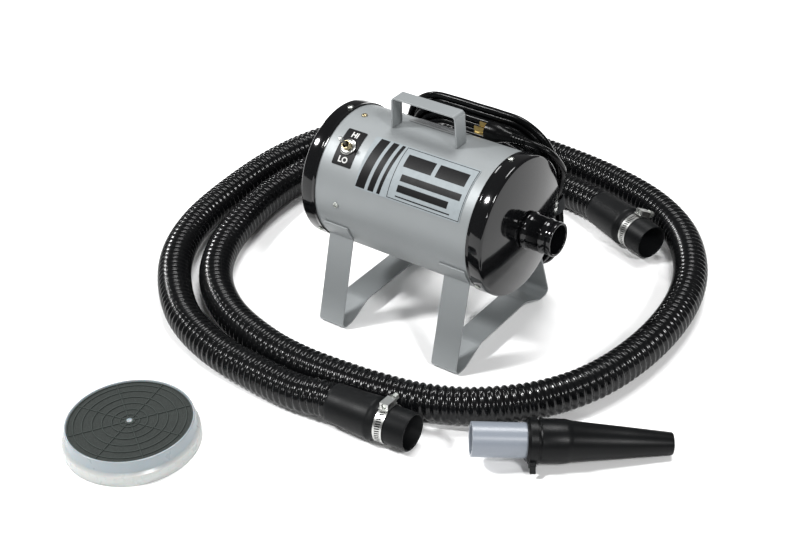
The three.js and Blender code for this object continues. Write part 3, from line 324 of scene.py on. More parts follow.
# ---------------------------------------------------------------- materials
def silver_paint():
    s = Shader("silver_paint")
    base = colours().drum
    clouds = s.noise(9, 4)
    s.colour(s.mix(clouds, shaded(base, 0.93), shaded(base, 1.07)))
    s.rough(0.42 + 0.1 * s.noise(38, 4))
    s.fixed(metallic=0.3)
    s.bump(s.noise(900, 2) * 0.6 + s.noise(240, 2), 0.00006)
    return s.material


def gloss_black_paint():
    s = Shader("gloss_black_paint")
    base = colours().caps
    s.colour(s.mix(s.noise(14), base, shaded(base, 1.8)))
    s.rough(0.05 + 0.06 * s.noise(30, 4))
    s.fixed(specular_ior_level=0.38)
    s.bump(s.noise(150, 2), 0.00002)
    return s.material


def hose_vinyl():
    s = Shader("hose_vinyl")
    base = colours().hose
    s.colour(s.mix(s.noise(60), base, shaded(base, 2.2)))
    s.rough(0.13 + 0.1 * s.noise(70, 4))
    s.fixed(specular_ior_level=0.26)
    s.bump(s.noise(500, 2), 0.00006)
    return s.material


def satin_rubber(name="satin_rubber", tint=1.0, low=0.36, grain=1100):
    s = Shader(name)
    base = shaded(colours().rubber, tint)
    s.colour(s.mix(s.noise(24, 5), shaded(base, 0.8), shaded(base, 1.5)))
    s.rough(low + 0.16 * s.noise(60, 4))
    s.fixed(specular_ior_level=0.12)
    s.bump(s.noise(grain, 2), 0.00008)
    return s.material


def metal(name, colour, rough, stretch=(1.0, 1.0, 1.0), grain=300):
    s = Shader(name)
    lines = s.noise(grain, 3, s.stretched(stretch))
    s.colour(s.mix(s.noise(45, 4), shaded(colour, 0.82), shaded(colour, 1.08)))
    s.rough(rough + 0.14 * lines)
    s.fixed(metallic=1.0)
    s.bump(lines, 0.00003)
    return s.material


def laminated_iron():
    s = Shader("laminated_iron")
    inputs = {"Vector": s.place(), "Scale": 320.0}
    sheets = s.node("ShaderNodeTexWave", {"bands_direction": "X"}, inputs).out("Fac")
    s.colour(s.mix(sheets, (0.05, 0.052, 0.055), (0.14, 0.145, 0.15)))
    s.rough(0.42 + 0.2 * s.noise(60))
    s.fixed(metallic=0.85)
    s.bump(sheets, 0.0001)
    return s.material


def open_foam(name, base, scale):
    s = Shader(name)
    # The pore centres are the bump's hollows, and the colour is darker there: painted shade inside the pores.
    pores_and_their_shade = s.cells(scale)
    s.colour(s.mix(pores_and_their_shade * 1.6, shaded(base, 0.35), shaded(base, 1.35)))
    s.rough(0.86 + 0.1 * s.noise(40))
    s.bump(pores_and_their_shade + 0.6 * s.noise(scale * 1.7, 3), 0.0008, 0.9)
    return s.material


def grey_pipe():
    s = Shader("grey_pipe")
    base = colours().pipe
    scuffs = s.noise(120, 5, s.stretched((1.0, 5.0, 5.0)))
    s.colour(s.mix(scuffs, shaded(base, 0.94), shaded(base, 1.05)))
    s.rough(0.24 + 0.16 * scuffs)
    s.bump(scuffs, 0.00003)
    return s.material


def milky_plastic():
    s = Shader("milky_plastic")
    height = s.node("ShaderNodeSeparateXYZ", None, {"Vector": s.place()}).out("Z")
    # The thin upper rim lets the dark foam show through it.
    rim = s.mix((height - 0.0145) * 260, (0.43, 0.44, 0.43), (0.245, 0.28, 0.30))
    clouds = s.mix(s.noise(18), (0.94, 0.94, 0.94), (1.0, 1.0, 1.0))
    s.colour(s.node("ShaderNodeMix", {"data_type": "RGBA", "blend_type": "MULTIPLY"},
                    {"Factor": 1.0, 6: rim, 7: clouds}).out(2))
    s.rough(0.22 + 0.15 * s.noise(50, 4))
    s.fixed(subsurface_weight=0.25, subsurface_scale=0.004)
    s.bump(s.noise(260, 2), 0.00004)
    return s.material


def printed(name, colour):
    s = Shader(name)
    s.colour(s.mix(s.noise(160, 4), shaded(colour, 0.85), shaded(colour, 1.1)))
    s.rough(0.4 + 0.12 * s.noise(90))
    s.fixed(specular_ior_level=0.14)
    s.bump(s.noise(700, 2), 0.00003)
    return s.material


def floor_finish():
    s = Shader("pale_floor")
    base = colours().floor
    s.colour(s.mix(s.noise(3), shaded(base, 0.995), base))
    s.rough(0.6 + 0.05 * s.noise(5))
    return s.material


FINISHES = {}


def make_finishes():
    FINISHES.update({
        "silver": silver_paint(),
        "gloss": gloss_black_paint(),
        "hose": hose_vinyl(),
        "rubber": satin_rubber(),
        "cord": satin_rubber("cord_vinyl", 0.45, 0.16, 700),
        "nozzle": satin_rubber("nozzle_plastic", 0.8, 0.26, 900),
        "tie": satin_rubber("tie_webbing", 3.4, 0.5, 1800),
        "steel": metal("bright_steel", (0.50, 0.505, 0.49), 0.24, (1.0, 6.0, 6.0)),
        "zinc": metal("zinc_plate", (0.48, 0.50, 0.47), 0.3),
        "brass": metal("brass", (0.46, 0.33, 0.12), 0.26),
        "tan": metal("passivated_zinc", (0.34, 0.29, 0.18), 0.3),
        "aluminium": metal("cast_aluminium", (0.48, 0.49, 0.50), 0.36, grain=500),
        "copper": metal("copper", (0.55, 0.26, 0.13), 0.3, (1.0, 4.0, 4.0)),
        "iron": laminated_iron(),
        "acoustic": open_foam("acoustic_foam", (0.035, 0.037, 0.036), 420),
        "foam": open_foam("filter_foam", colours().foam, 780),
        "pipe": grey_pipe(),
        "milky": milky_plastic(),
        "web": printed("filter_web", (0.038, 0.045, 0.042)),
        "black_print": printed("black_print", (0.003, 0.003, 0.0035)),
        "white_print": printed("white_print", (0.55, 0.55, 0.54)),
        "label_silver": printed("label_silver", (0.235, 0.262, 0.275)),
        "label": metal("label_foil", (0.29, 0.30, 0.305), 0.5, (3.0, 1.0, 1.0)),
    })


# ---------------------------------------------------------------- placing
def basis(x, y, z, place):
    """A matrix with those local axes whose place is in millimetres; it scales millimetres to metres."""
    at = ORIGIN + Vector(place) * MM
    rows = [[x[i] * MM, y[i] * MM, z[i] * MM, at[i]] for i in range(3)]
    return Matrix([*rows, [0, 0, 0, 1]])


def pointing(place, direction, up=(0, 0, 1)):
    """Local +Z runs along direction, and local +X is as near as it can be to up."""
    z = Vector(direction).normalized()
    y = z.cross(Vector(up)).normalized()
    return basis(y.cross(z), y, z, place)


def along_drum():
    """Local +Z runs along the drum's axis from under the front cap's face."""
    return pointing((0, 0, AXIS_HEIGHT), (1, 0, 0))


def stand_off(x, angle, radius):
    """Local +Z points straight out of the drum, +X runs along it and +Y round it towards its top."""
    a = math.radians(angle)
    out = Vector((0, -math.sin(a), math.cos(a)))
    place = (x, radius * out.y, AXIS_HEIGHT + radius * out.z)
    return basis((1, 0, 0), out.cross(Vector((1, 0, 0))), out, place)


def upright(x, y):
    return basis((1, 0, 0), (0, 1, 0), (0, 0, 1), (x, y, 0))


def placed(bm, matrix):
    bmesh.ops.transform(bm, matrix=matrix, verts=bm.verts)
    return bm


def point(place):
    """A point given in metres from the origin of the layout."""
    return ORIGIN + Vector(place)


# ---------------------------------------------------------------- shaping
def turned(profile, place, segments=96, closed=True):
    """Spins a profile of (radius, height) about local +Z. An open one starts and ends on the axis."""
    bm = bmesh.new()
    points = [bm.verts.new((radius, 0, height)) for radius, height in profile]
    edges = [bm.edges.new(pair) for pair in zip(points, points[1:])]
    if closed:
        edges.append(bm.edges.new((points[-1], points[0])))
    bmesh.ops.spin(bm, geom=points + edges, cent=(0, 0, 0), axis=(0, 0, 1), angle=math.tau, steps=segments,
                   use_merge=True)
    return settled(bm, place)


def settled(bm, place=None, merge=0.0005):
    bmesh.ops.remove_doubles(bm, verts=bm.verts, dist=merge)
    bmesh.ops.dissolve_degenerate(bm, edges=bm.edges, dist=merge / 5)
    bmesh.ops.recalc_face_normals(bm, faces=bm.faces)
    return placed(bm, place) if place else bm


def block(size, middle, place=None):
    bm = bmesh.new()
    bmesh.ops.create_cube(bm, size=1)
    placed(bm, Matrix.Translation(middle) @ Matrix.Diagonal((*size, 1)))
    return placed(bm, place) if place else bm


def pin(radius, low, high, sides, place=None):
    bm = bmesh.new()
    bmesh.ops.create_cone(bm, cap_ends=True, segments=sides, radius1=radius, radius2=radius, depth=high - low,
                          matrix=Matrix.Translation((0, 0, (low + high) / 2)))
    return placed(bm, place) if place else bm


def gathered(parts):
    """Several meshes as one."""
    whole = bmesh.new()
    for part in parts:
        mesh = bpy.data.meshes.new("part")
        part.to_mesh(mesh)
        part.free()
        whole.from_mesh(mesh)
        bpy.data.meshes.remove(mesh)
    return whole


def carved(bm, cutter):
    """The mesh with the cutter taken away from it."""
    objects = []
    for part in (bm, cutter):
        mesh = bpy.data.meshes.new("carving")
        part.to_mesh(mesh)
        part.free()
        obj = bpy.data.objects.new("carving", mesh)
        bpy.context.scene.collection.objects.link(obj)
        objects.append(obj)
    modifier = objects[0].modifiers.new("carve", "BOOLEAN")
    modifier.object = objects[1]
    modifier.operation = "DIFFERENCE"
    modifier.solver = "EXACT"
    modifier.use_self = True
    view = bpy.context.evaluated_depsgraph_get()
    result = bmesh.new()
    result.from_mesh(objects[0].evaluated_get(view).to_mesh())
    for obj in objects:
        mesh = obj.data
        bpy.data.objects.remove(obj)
        bpy.data.meshes.remove(mesh)
    return result


def rounded(corners, steps=8):
    """A path whose inner corners, each (x, y, radius), are arcs."""
    path = []
    for i, corner in enumerate(corners):
        here = Vector(corner[:2])
        radius = corner[2] if len(corner) > 2 else 0
        if not radius or i in (0, len(corners) - 1):
            path.append(here)
            continue
        before = (Vector(corners[i - 1][:2]) - here).normalized()
        after = (Vector(corners[i + 1][:2]) - here).normalized()
        half = before.angle(after) / 2
        centre = here + (before + after).normalized() * (radius / math.sin(half))
        first = here + before * (radius / math.tan(half)) - centre
        last = here + after * (radius / math.tan(half)) - centre
        sweep = first.angle_signed(last)
        for k in range(steps + 1):
            turn = Matrix.Rotation(-sweep * k / steps, 2)
            path.append(centre + turn @ first)
    return path


def piece(name, bm, body, finish, stands_for=(), edge=0.0, angle=32):
    """The mesh as a finished object that rides on its body."""
    mesh = bpy.data.meshes.new(name)
    bm.to_mesh(mesh)
    bm.free()
    obj = bpy.data.objects.new(name, mesh)
    bpy.context.scene.collection.objects.link(obj)
    mesh.materials.append(FINISHES[finish])
    mesh.polygons.foreach_set("use_smooth", [True] * len(mesh.polygons))
    if edge:
        bevel = obj.modifiers.new("edges", "BEVEL")
        bevel.width = edge * MM
        bevel.segments = 2
        bevel.limit_method = "ANGLE"
        bevel.angle_limit = math.radians(angle)
        bevel.harden_normals = True
    else:
        mesh.set_sharp_from_angle(angle=math.radians(angle))
    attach(obj, body)
    if stands_for:
        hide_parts(*stands_for)
    return obj


# ---------------------------------------------------------------- routes
def smooth_route(points, spacing):
    """Points an even distance apart on a centripetal curve through the given ones."""
    points = [Vector(p) for p in points]
    ends = [2 * points[0] - points[1], *points, 2 * points[-1] - points[-2]]
    dense = []
    for p0, p1, p2, p3 in zip(ends, ends[1:], ends[2:], ends[3:]):
        t0 = 0.0
        t1 = t0 + (p1 - p0).length ** 0.5
        t2 = t1 + (p2 - p1).length ** 0.5
        t3 = t2 + (p3 - p2).length ** 0.5
        for k in range(24):
            t = t1 + (t2 - t1) * k / 24
            a1 = p0.lerp(p1, (t - t0) / (t1 - t0))
            a2 = p1.lerp(p2, (t - t1) / (t2 - t1))
            a3 = p2.lerp(p3, (t - t2) / (t3 - t2))
            b1 = a1.lerp(a2, (t - t0) / (t2 - t0))
            b2 = a2.lerp(a3, (t - t1) / (t3 - t1))
            dense.append(b1.lerp(b2, (t - t1) / (t2 - t1)))
    dense.append(points[-1])
    return evenly(dense, spacing)


def route_length(points):
    return sum((b - a).length for a, b in zip(points, points[1:]))


def evenly(points, spacing):
    total = route_length(points)
    count = max(2, round(total / spacing))
    step = total / count
    made = [points[0].copy()]
    travelled = 0.0
    due = step
    for a, b in zip(points, points[1:]):
        run = (b - a).length
        while run > 0 and due <= travelled + run + 1e-9 and len(made) < count:
            made.append(a.lerp(b, (due - travelled) / run))
            due += step
        travelled += run
    made.append(points[-1].copy())
    return made


# ---------------------------------------------------------------- the power cord
def hank_point(u, v, depth):
    """A point on the leaning bundle, in millimetres: u along the drum, v up, depth behind its inner face."""
    return Vector((
        HANK_MIDDLE_X + u,
        HANK_FOOT_Y - v * math.sin(HANK_LEAN) + depth * math.cos(HANK_LEAN),
        0.3 + v * math.cos(HANK_LEAN) + depth * math.sin(HANK_LEAN),
    ))


def hank_loop(inset):
    """One turn's outline, anticlockwise from the middle of its foot."""
    half = HANK_WIDTH / 2 - inset
    top = HANK_HEIGHT - inset
    corners = [
        (0, inset), (half, inset, HANK_FOOT_CORNER - inset), (half, top, HANK_TOP_CORNER - inset),
        (-half, top, HANK_TOP_CORNER - inset), (-half, inset, HANK_FOOT_CORNER - inset), (0, inset),
    ]
    path = [Vector((*p, 0)) for p in rounded(corners, 14)]
    return evenly(path, route_length(path) / HANK_STEPS)


def hank_turns():
    """The turns one after another, each changing lane as it passes the foot."""
    points = []
    for number, (inset, depth) in enumerate(HANK_TURNS):
        before = HANK_TURNS[number - 1] if number else HANK_TURNS[0]
        loop, last_loop = hank_loop(inset), hank_loop(before[0])
        for k in range(HANK_STEPS):
            share = min(1.0, (k / HANK_STEPS) / LANE_CHANGE)
            share = share * share * (3 - 2 * share)
            flat = last_loop[k].lerp(loop[k], share)
            points.append(hank_point(flat.x, flat.y, before[1] + (depth - before[1]) * share))
    return points


def cord_points():
    a = math.radians(RELIEF_ANGLE)
    r = DRUM_RADIUS + RELIEF_LENGTH
    leave = [(RELIEF_X, -(r + d) * math.sin(a), AXIS_HEIGHT + (r + d) * math.cos(a)) for d in (0.2, 9)]
    start = [Vector(p) * MM for p in leave] + [Vector(p) for p in CORD_ROUTE]
    turns = [p * MM for p in hank_turns()]
    joined = int(HANK_STEPS * CORD_JOINS)
    left = len(turns) - HANK_STEPS + int(HANK_STEPS * CORD_LEAVES)
    plug_y, plug_z = plug_place()
    boot_end = Vector(((PLUG_FACE_X + PLUG_LENGTH + PLUG_BOOT - 1) * MM, plug_y * MM, plug_z * MM))
    tail = [Vector(p) for p in reversed(TAIL_ROUTE)]
    return [ORIGIN + p for p in [*start, *turns[joined:left:3], *tail, boot_end]]


def plug_place():
    out = DRUM_RADIUS + PLUG_RADIUS + 0.6
    a = math.radians(PLUG_ANGLE)
    return -out * math.sin(a), AXIS_HEIGHT + out * math.cos(a)


def boot_ribs(count, start, pitch, radius, narrowing, steps):
    """A boot's ribs in outline; steps are where a rib ends, and where its groove starts and ends."""
    outline = []
    for k in range(count):
        at = start + k * pitch
        r = radius - k * narrowing
        outline += [(r, at), (r, at + steps[0]), (r - 1.1, at + steps[1]), (r - 1.1, at + steps[2])]
    return outline


def plug_body():
    length = PLUG_LENGTH
    end = length + PLUG_BOOT
    profile = [(0, 0), (11.3, 0), (12.4, 1.2), (12.4, 4), (11.9, 4.6), (11.9, 6), (12.4, 6.6), (12.4, 17),
               (11.6, 20), (9.0, 26), (7.6, 32), (7.1, length)]
    profile += boot_ribs(5, length + 1, 4, 6.7, 0.42, (2, 2.4, 3.6))
    profile += [(4.9, end), (0, end)]
    return turned(profile, pointing((PLUG_FACE_X, *plug_place()), (1, 0, 0)), 64, closed=False)


class DRYER_OT_power_cord(bpy.types.Operator):
    """Makes the plug, the tie, the strain relief and the cord with its bundle"""
    bl_idname = "dryer.power_cord"
    bl_label = "Power cord"

    def execute(self, context):
        plug = piece("plug", plug_body(), "dryer", "cord", ["plug_body"])
        relief_profile = [(0, -8), (7.1, -8), (7.1, 0.3), (9.5, 0.3), (9.5, 6), (8.6, 7)]
        relief_profile += boot_ribs(6, 8, 4.4, 7.4, 0.38, (2.2, 2.7, 3.9))
        relief_profile += [(5.0, RELIEF_LENGTH), (0, RELIEF_LENGTH)]
        relief = turned(relief_profile, stand_off(RELIEF_X, RELIEF_ANGLE, DRUM_RADIUS), 48, closed=False)
        piece("cord_relief", relief, "dryer", "rubber", ["strain_relief"])
        tie = self.tie()
        points = evenly(smooth_route(cord_points(), 0.003), 0.004)
        cord = self.tube(points)
        route_length(points)
        return {"FINISHED"}

    def tube(self, points):
        curve = bpy.data.curves.new("power_cord_line", "CURVE")
        curve.dimensions = "3D"
        curve.bevel_depth = sizes().cord_diameter / 2
        curve.bevel_resolution = 4
        curve.use_fill_caps = True
        spline = curve.splines.new("POLY")
        spline.points.add(len(points) - 1)
        for target, place in zip(spline.points, points):
            target.co = (*place, 1.0)
        spline.use_smooth = True
        curve.materials.append(FINISHES["cord"])
        cord = bpy.data.objects.new("mains_cord", curve)
        bpy.context.scene.collection.objects.link(cord)
        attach(cord, "dryer")
        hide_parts("power_cord", "cord_hank", "cord_tail")
        return cord

    def tie(self):
        half_width, half_depth = 25.3, 10.4
        corners = [
            (0, -half_depth), (half_width, -half_depth, 7), (half_width, half_depth, 7),
            (-half_width, half_depth, 7), (-half_width, -half_depth, 7), (0, -half_depth),
        ]
        path = rounded(corners, 8)[:-1]
        bm = bmesh.new()
        ring = [bm.verts.new((*p, -10)) for p in path]
        edges = [bm.edges.new(pair) for pair in zip(ring, [*ring[1:], ring[0]])]
        made = bmesh.ops.extrude_edge_only(bm, edges=edges)["geom"]
        bmesh.ops.translate(bm, vec=(0, 0, 20), verts=[v for v in made if isinstance(v, bmesh.types.BMVert)])
        bmesh.ops.recalc_face_normals(bm, faces=bm.faces)
        bmesh.ops.solidify(bm, geom=bm.faces, thickness=-1.7)
        at = hank_point(HANK_WIDTH / 2 - 24, 150, 9)
        up = hank_point(0, 1, 0) - hank_point(0, 0, 0)
        z = up.normalized()
        x = Vector((1, 0, 0))
        place = basis(x, z.cross(x), z, at)
        return piece("cord_strap", settled(bm, place), "dryer", "tie", ["cord_tie"], edge=0.4)


# ---------------------------------------------------------------- the hose and its cuffs
def cuff_frame(key):
    along = Vector((*CUFFS[key]["direction"], 0)).normalized()
    return pointing((*CUFFS[key]["start"], CUFF_LIFT), along)


def cuff_point(key, back):
    """A point on the cuff's axis, in metres; back is how far it is behind the cuff's start."""
    along = Vector((*CUFFS[key]["direction"], 0)).normalized()
    return (Vector((*CUFFS[key]["start"], CUFF_LIFT)) - along * back) * MM


def hose_centreline():
    """From inside cuff b, along the floor, to inside cuff a."""
    lying = HOSE_RADIUS + 0.5
    points = [cuff_point("b", back) for back in HOSE_LEAVES_CUFF]
    for i, (x, y) in enumerate(HOSE_ROUTE):
        points.append(Vector((x, y, (lying + (0.8 if i == 0 else 0)) * MM)))
    points += [cuff_point("a", back) for back in reversed(HOSE_LEAVES_CUFF)]
    return [ORIGIN + p for p in smooth_route(points, 0.003)]


def ribbed_tube(line):
    """A tube along the line with one helical rib; its rows of faces follow the helix."""
    length = route_length(line)
    pitch = HOSE_PITCH * MM
    rows = math.ceil((length + pitch) / pitch * ROWS_PER_RIB)
    bm = bmesh.new()
    bmesh.ops.create_grid(bm, x_segments=rows, y_segments=HOSE_SIDES, size=0.5)
    step = length / (len(line) - 1)
    sides = []
    across = Vector((0, 0, 1))
    for i, here in enumerate(line):
        ahead = (line[min(i + 1, len(line) - 1)] - line[max(i - 1, 0)]).normalized()
        across = (across - ahead * across.dot(ahead)).normalized()
        sides.append((across.copy(), ahead.cross(across)))
    for vert in bm.verts:
        turn = vert.co.y + 0.5
        along = (vert.co.x + 0.5) * rows / ROWS_PER_RIB * pitch - pitch
        s = min(max(along + turn * pitch, 0.0), length)
        phase = math.tau * (s - turn * pitch) / pitch
        index = min(int(s / step), len(line) - 2)
        share = s / step - index
        centre = line[index].lerp(line[index + 1], share)
        u, v = (sides[index][k].lerp(sides[index + 1][k], share).normalized() for k in (0, 1))
        crest = (0.5 + 0.5 * math.cos(phase)) ** 0.5
        radius = HOSE_RADIUS * MM - sizes().hose_ribs * (1 - crest)
        angle = math.tau * turn
        vert.co = centre + (u * math.cos(angle) + v * math.sin(angle)) * radius
    bmesh.ops.remove_doubles(bm, verts=bm.verts, dist=0.00004)
    bmesh.ops.dissolve_degenerate(bm, edges=bm.edges, dist=0.00002)
    mouths = bmesh.ops.holes_fill(bm, edges=[e for e in bm.edges if e.is_boundary], sides=0)["faces"]
    bmesh.ops.recalc_face_normals(bm, faces=bm.faces)
    bmesh.ops.inset_individual(bm, faces=mouths, thickness=0.0025, depth=0)
    for mouth in mouths:
        bmesh.ops.translate(bm, vec=mouth.normal * -0.012, verts=mouth.verts)
    return bm


class DRYER_OT_cuffs(bpy.types.Operator):
    """Makes the hose's two rubber cuffs and their worm clamps"""
    bl_idname = "dryer.cuffs"
    bl_label = "Cuffs and clamps"

    def execute(self, context):
        for key in CUFFS:
            self.cuff(key)
            self.clamp(key)
        return {"FINISHED"}

    def cuff(self, key):
        profile = [
            (24.0, 0.4), (24.6, 0), (25.1, 0.4), (25.2, 4), (25.7, 16), (26.5, 34), (27.7, 54), (28.1, 58),
            (28.3, 60.5), (28.0, 62.3), (26.9, 64), (25.1, 66.4), (24.5, 68.4), (24.2, 70), (24.2, 112.6),
            (23.9, 113.7), (23.2, CUFF_LENGTH), (22.5, 113.8), (21.9, 113), (21.9, 62), (19.8, 55),
            (19.6, 16), (23.9, 14),
        ]
        body = turned(profile, cuff_frame(key), 96)
        piece(f"hose_cuff_{key}", body, "dryer", "rubber", [f"cuff_{key}"], angle=50)

    def clamp(self, key):
        place = cuff_frame(key) @ Matrix.Translation((0, 0, CLAMP_PLACE))
        place = place @ Matrix.Rotation(math.radians(CUFFS[key]["turn"]), 4, "Z")
        inner, outer = CLAMP_RADIUS, CLAMP_RADIUS + CLAMP_THICKNESS
        middle = (inner + outer) / 2
        half = CLAMP_WIDTH / 2
        band = turned([(inner, -half), (outer, -half), (outer, half), (inner, half)], None, 96)
        slots = []
        lean = Matrix.Rotation(math.radians(12), 4, "X")
        for k in range(CLAMP_SLOTS):
            turn = Matrix.Rotation(math.radians(28 + k * 7), 4, "Z")
            slots.append(block((4, 1.5, 7.4), (middle, 0, 0), turn @ lean))
        band = carved(band, gathered(slots))
        bore = Matrix.Translation((29.2, 0, 0)) @ Matrix.Rotation(math.pi / 2, 4, "X")
        housing = carved(block((8, 18, 11.7), (middle + 4, 0, 0)), pin(3.4, -12, 12, 28, bore))
        saddle = block((1.2, 22, 12.9), (25.4, 0, 0))
        whole = placed(gathered([band, housing, saddle]), place)
        piece(f"clamp_strap_{key}", whole, "dryer", "steel", [f"clamp_band_{key}"], edge=0.25,
              angle=40)
        joint = JOINTS[CUFFS[key]["joint"]]
        pivot = (Vector(joint["pos_m"]) - ORIGIN) / MM
        screw = placed(self.worm(), pointing(pivot, joint["axis"], (0.3, 0.2, 1)))
        piece(f"worm_screw_{key}", screw, f"worm_{key}", "zinc", [f"clamp_screw_{key}"],
              edge=0.2)

    def worm(self):
        """The clamp's screw about local Z: a threaded shank, a collar and a slotted hexagonal head."""
        shank = [(0, -8), (2.4, -8)]
        for k in range(12):
            shank += [(3.0, -7.4 + k * 1.5), (2.5, -6.7 + k * 1.5)]
        shank += [(3.0, 11.5), (0, 11.5)]
        head = carved(pin(4.6, 11, 19, 6), block((1.2, 12, 3.4), (0, 0, 19)))
        collar = turned([(0, 10.2), (5.4, 10.2), (5.4, 11.3), (0, 11.3)], None, 48, closed=False)
        return gathered([turned(shank, None, 36, closed=False), head, collar])


class DRYER_OT_hose(bpy.types.Operator):
    """Makes the corrugated hose along its route"""
    bl_idname = "dryer.hose"
    bl_label = "Hose"

    def execute(self, context):
        line = hose_centreline()
        hose = piece("corrugated_hose", ribbed_tube(line), "dryer", "hose", ["hose_tube"],
                     angle=75)
        route_length(line)
        line[::2] + [line[-1]]
        return {"FINISHED"}


# ---------------------------------------------------------------- the drum
class DRYER_OT_drum(bpy.types.Operator):
    """Makes the drum shell"""
    bl_idname = "dryer.drum"
    bl_label = "Drum"

    def execute(self, context):
        r = DRUM_RADIUS
        low, high = DRUM_INSET - BODY_LENGTH, -DRUM_INSET
        shell = turned([(r - DRUM_WALL, low), (r, low), (r, high), (r - DRUM_WALL, high)], None, 160)
        holes = [self.hole(SWITCH_X, SWITCH_ANGLE, 6.2), self.hole(RELIEF_X, RELIEF_ANGLE, 7.5)]
        shell = placed(carved(shell, gathered(holes)), along_drum())
        piece("drum", shell, "dryer", "silver", ["drum_shell"])
        return {"FINISHED"}

    def hole(self, x, angle, radius):
        place = along_drum().inverted() @ stand_off(x, angle, DRUM_RADIUS)
        return pin(radius, -6, 6, 40, place)


def cap_profile(hole, dome=0.0):
    """A cap's outline from its hole's edge, over its face and skirt, and back inside; dome is its rise."""
    r = CAP_RADIUS
    rim = r - 4
    face = [(radius, dome * (1 - (radius / rim) ** 2))
            for radius in (hole + (rim - hole) * k / 12 for k in range(12))]
    points = face if dome else [(hole, 0)]
    for k in range(1, 9):
        a = math.pi / 2 * k / 8
        points.append((r - 4 + 4 * math.sin(a), -4 + 4 * math.cos(a)))
    points += [(r, -17.5), (r - 0.25, -18.3), (r - 0.25, -19.2), (r, -20), (r, -22.4), (r - 0.5, -CAP_SKIRT)]
    points += [(DRUM_RADIUS + 0.3, -CAP_SKIRT), (DRUM_RADIUS + 0.3, -4), (r - 4, -1.5)]
    points += [(radius, height - 1.5) for radius, height in reversed(points[:12 if dome else 1])]
    return points


class DRYER_OT_caps(bpy.types.Operator):
    """Makes the two dished end caps"""
    bl_idname = "dryer.caps"
    bl_label = "End caps"

    def execute(self, context):
        front = turned(cap_profile(OUTLET_HOLE_RADIUS, CAP_DOME), along_drum(), 160)
        piece("front_cap", front, "dryer", "gloss", ["front_end_cap"])
        rear = turned(cap_profile(0), None, 160, closed=False)
        holes = []
        for ring, count in AIR_HOLE_RINGS:
            for k in range(count):
                a = math.tau * k / count
                place = Matrix.Translation((ring * math.sin(a), ring * math.cos(a), 0))
                holes.append(pin(AIR_HOLE_RADIUS, -6, 6, 28, place))
        rear = carved(rear, gathered(holes))
        placed(rear, pointing((-BODY_LENGTH, 0, AXIS_HEIGHT), (-1, 0, 0)))
        piece("rear_cap", rear, "dryer", "gloss", ["rear_end_cap"])
        return {"FINISHED"}


class DRYER_OT_outlet(bpy.types.Operator):
    """Makes the stepped outlet spigot"""
    bl_idname = "dryer.outlet"
    bl_label = "Outlet"

    def execute(self, context):
        base = CAP_DOME
        profile = [
            (21.1, base - 12), (21.1, base + 0.3), (24.1, base + 0.3), (24.5, base + 0.8), (24.5, base + 3.4),
            (24.1, base + 4.1), (23.2, base + 5.2), (22.5, base + 7), (22.3, base + 9), (22.3, 34.4),
            (22.5, 35.4), (22.9, 36.2), (22.9, 38.8), (22.5, 39.6), (21.9, 40.4), (21.9, 47), (22.3, 48),
            (22.3, 52), (22.0, 53.2), (21.3, 53.8), (20.4, 54), (19.3, 53.8), (18.6, 53), (18.5, 52),
            (18.5, base - 12),
        ]
        spigot = turned(profile, along_drum(), 128)
        piece("outlet", spigot, "dryer", "gloss", ["outlet_spigot"], angle=60)
        return {"FINISHED"}


class DRYER_OT_screws(bpy.types.Operator):
    """Makes the screws of the caps and of the inner baffle"""
    bl_idname = "dryer.screws"
    bl_label = "Screws"

    def execute(self, context):
        for end, x in (("front", -CAP_SCREW_INSET), ("rear", CAP_SCREW_INSET - BODY_LENGTH)):
            for i, angle in enumerate(CAP_SCREW_ANGLES):
                node = f"{end}_cap_screw_{i + 1}"
                self.screw(node, stand_off(x, angle, CAP_RADIUS), "zinc")
        for i, (x, angle) in enumerate(BAFFLE_SCREWS):
            finish = "tan" if i == 0 else "zinc"
            self.screw(f"baffle_screw_{i + 1}", stand_off(x - BODY_LENGTH, angle, DRUM_RADIUS), finish)
        return {"FINISHED"}

    def screw(self, node, place, finish):
        dome = [(0, -5.5), (1.7, -5.5), (1.7, 0.3), (3.9, 0.3), (4.0, 0.7)]
        for k in range(1, 7):
            a = math.pi / 2 * k / 6
            dome.append((4.0 * math.cos(a), 0.7 + 1.8 * math.sin(a)))
        dome[-1] = (0, 2.5)
        cross = gathered([block((4.4, 0.9, 2.2), (0, 0, 2.6)), block((0.9, 4.4, 2.2), (0, 0, 2.6))])
        body = placed(carved(turned(dome, None, 40, closed=False), cross), place)
        piece(f"fixing_{node}", body, "dryer", finish, [node])


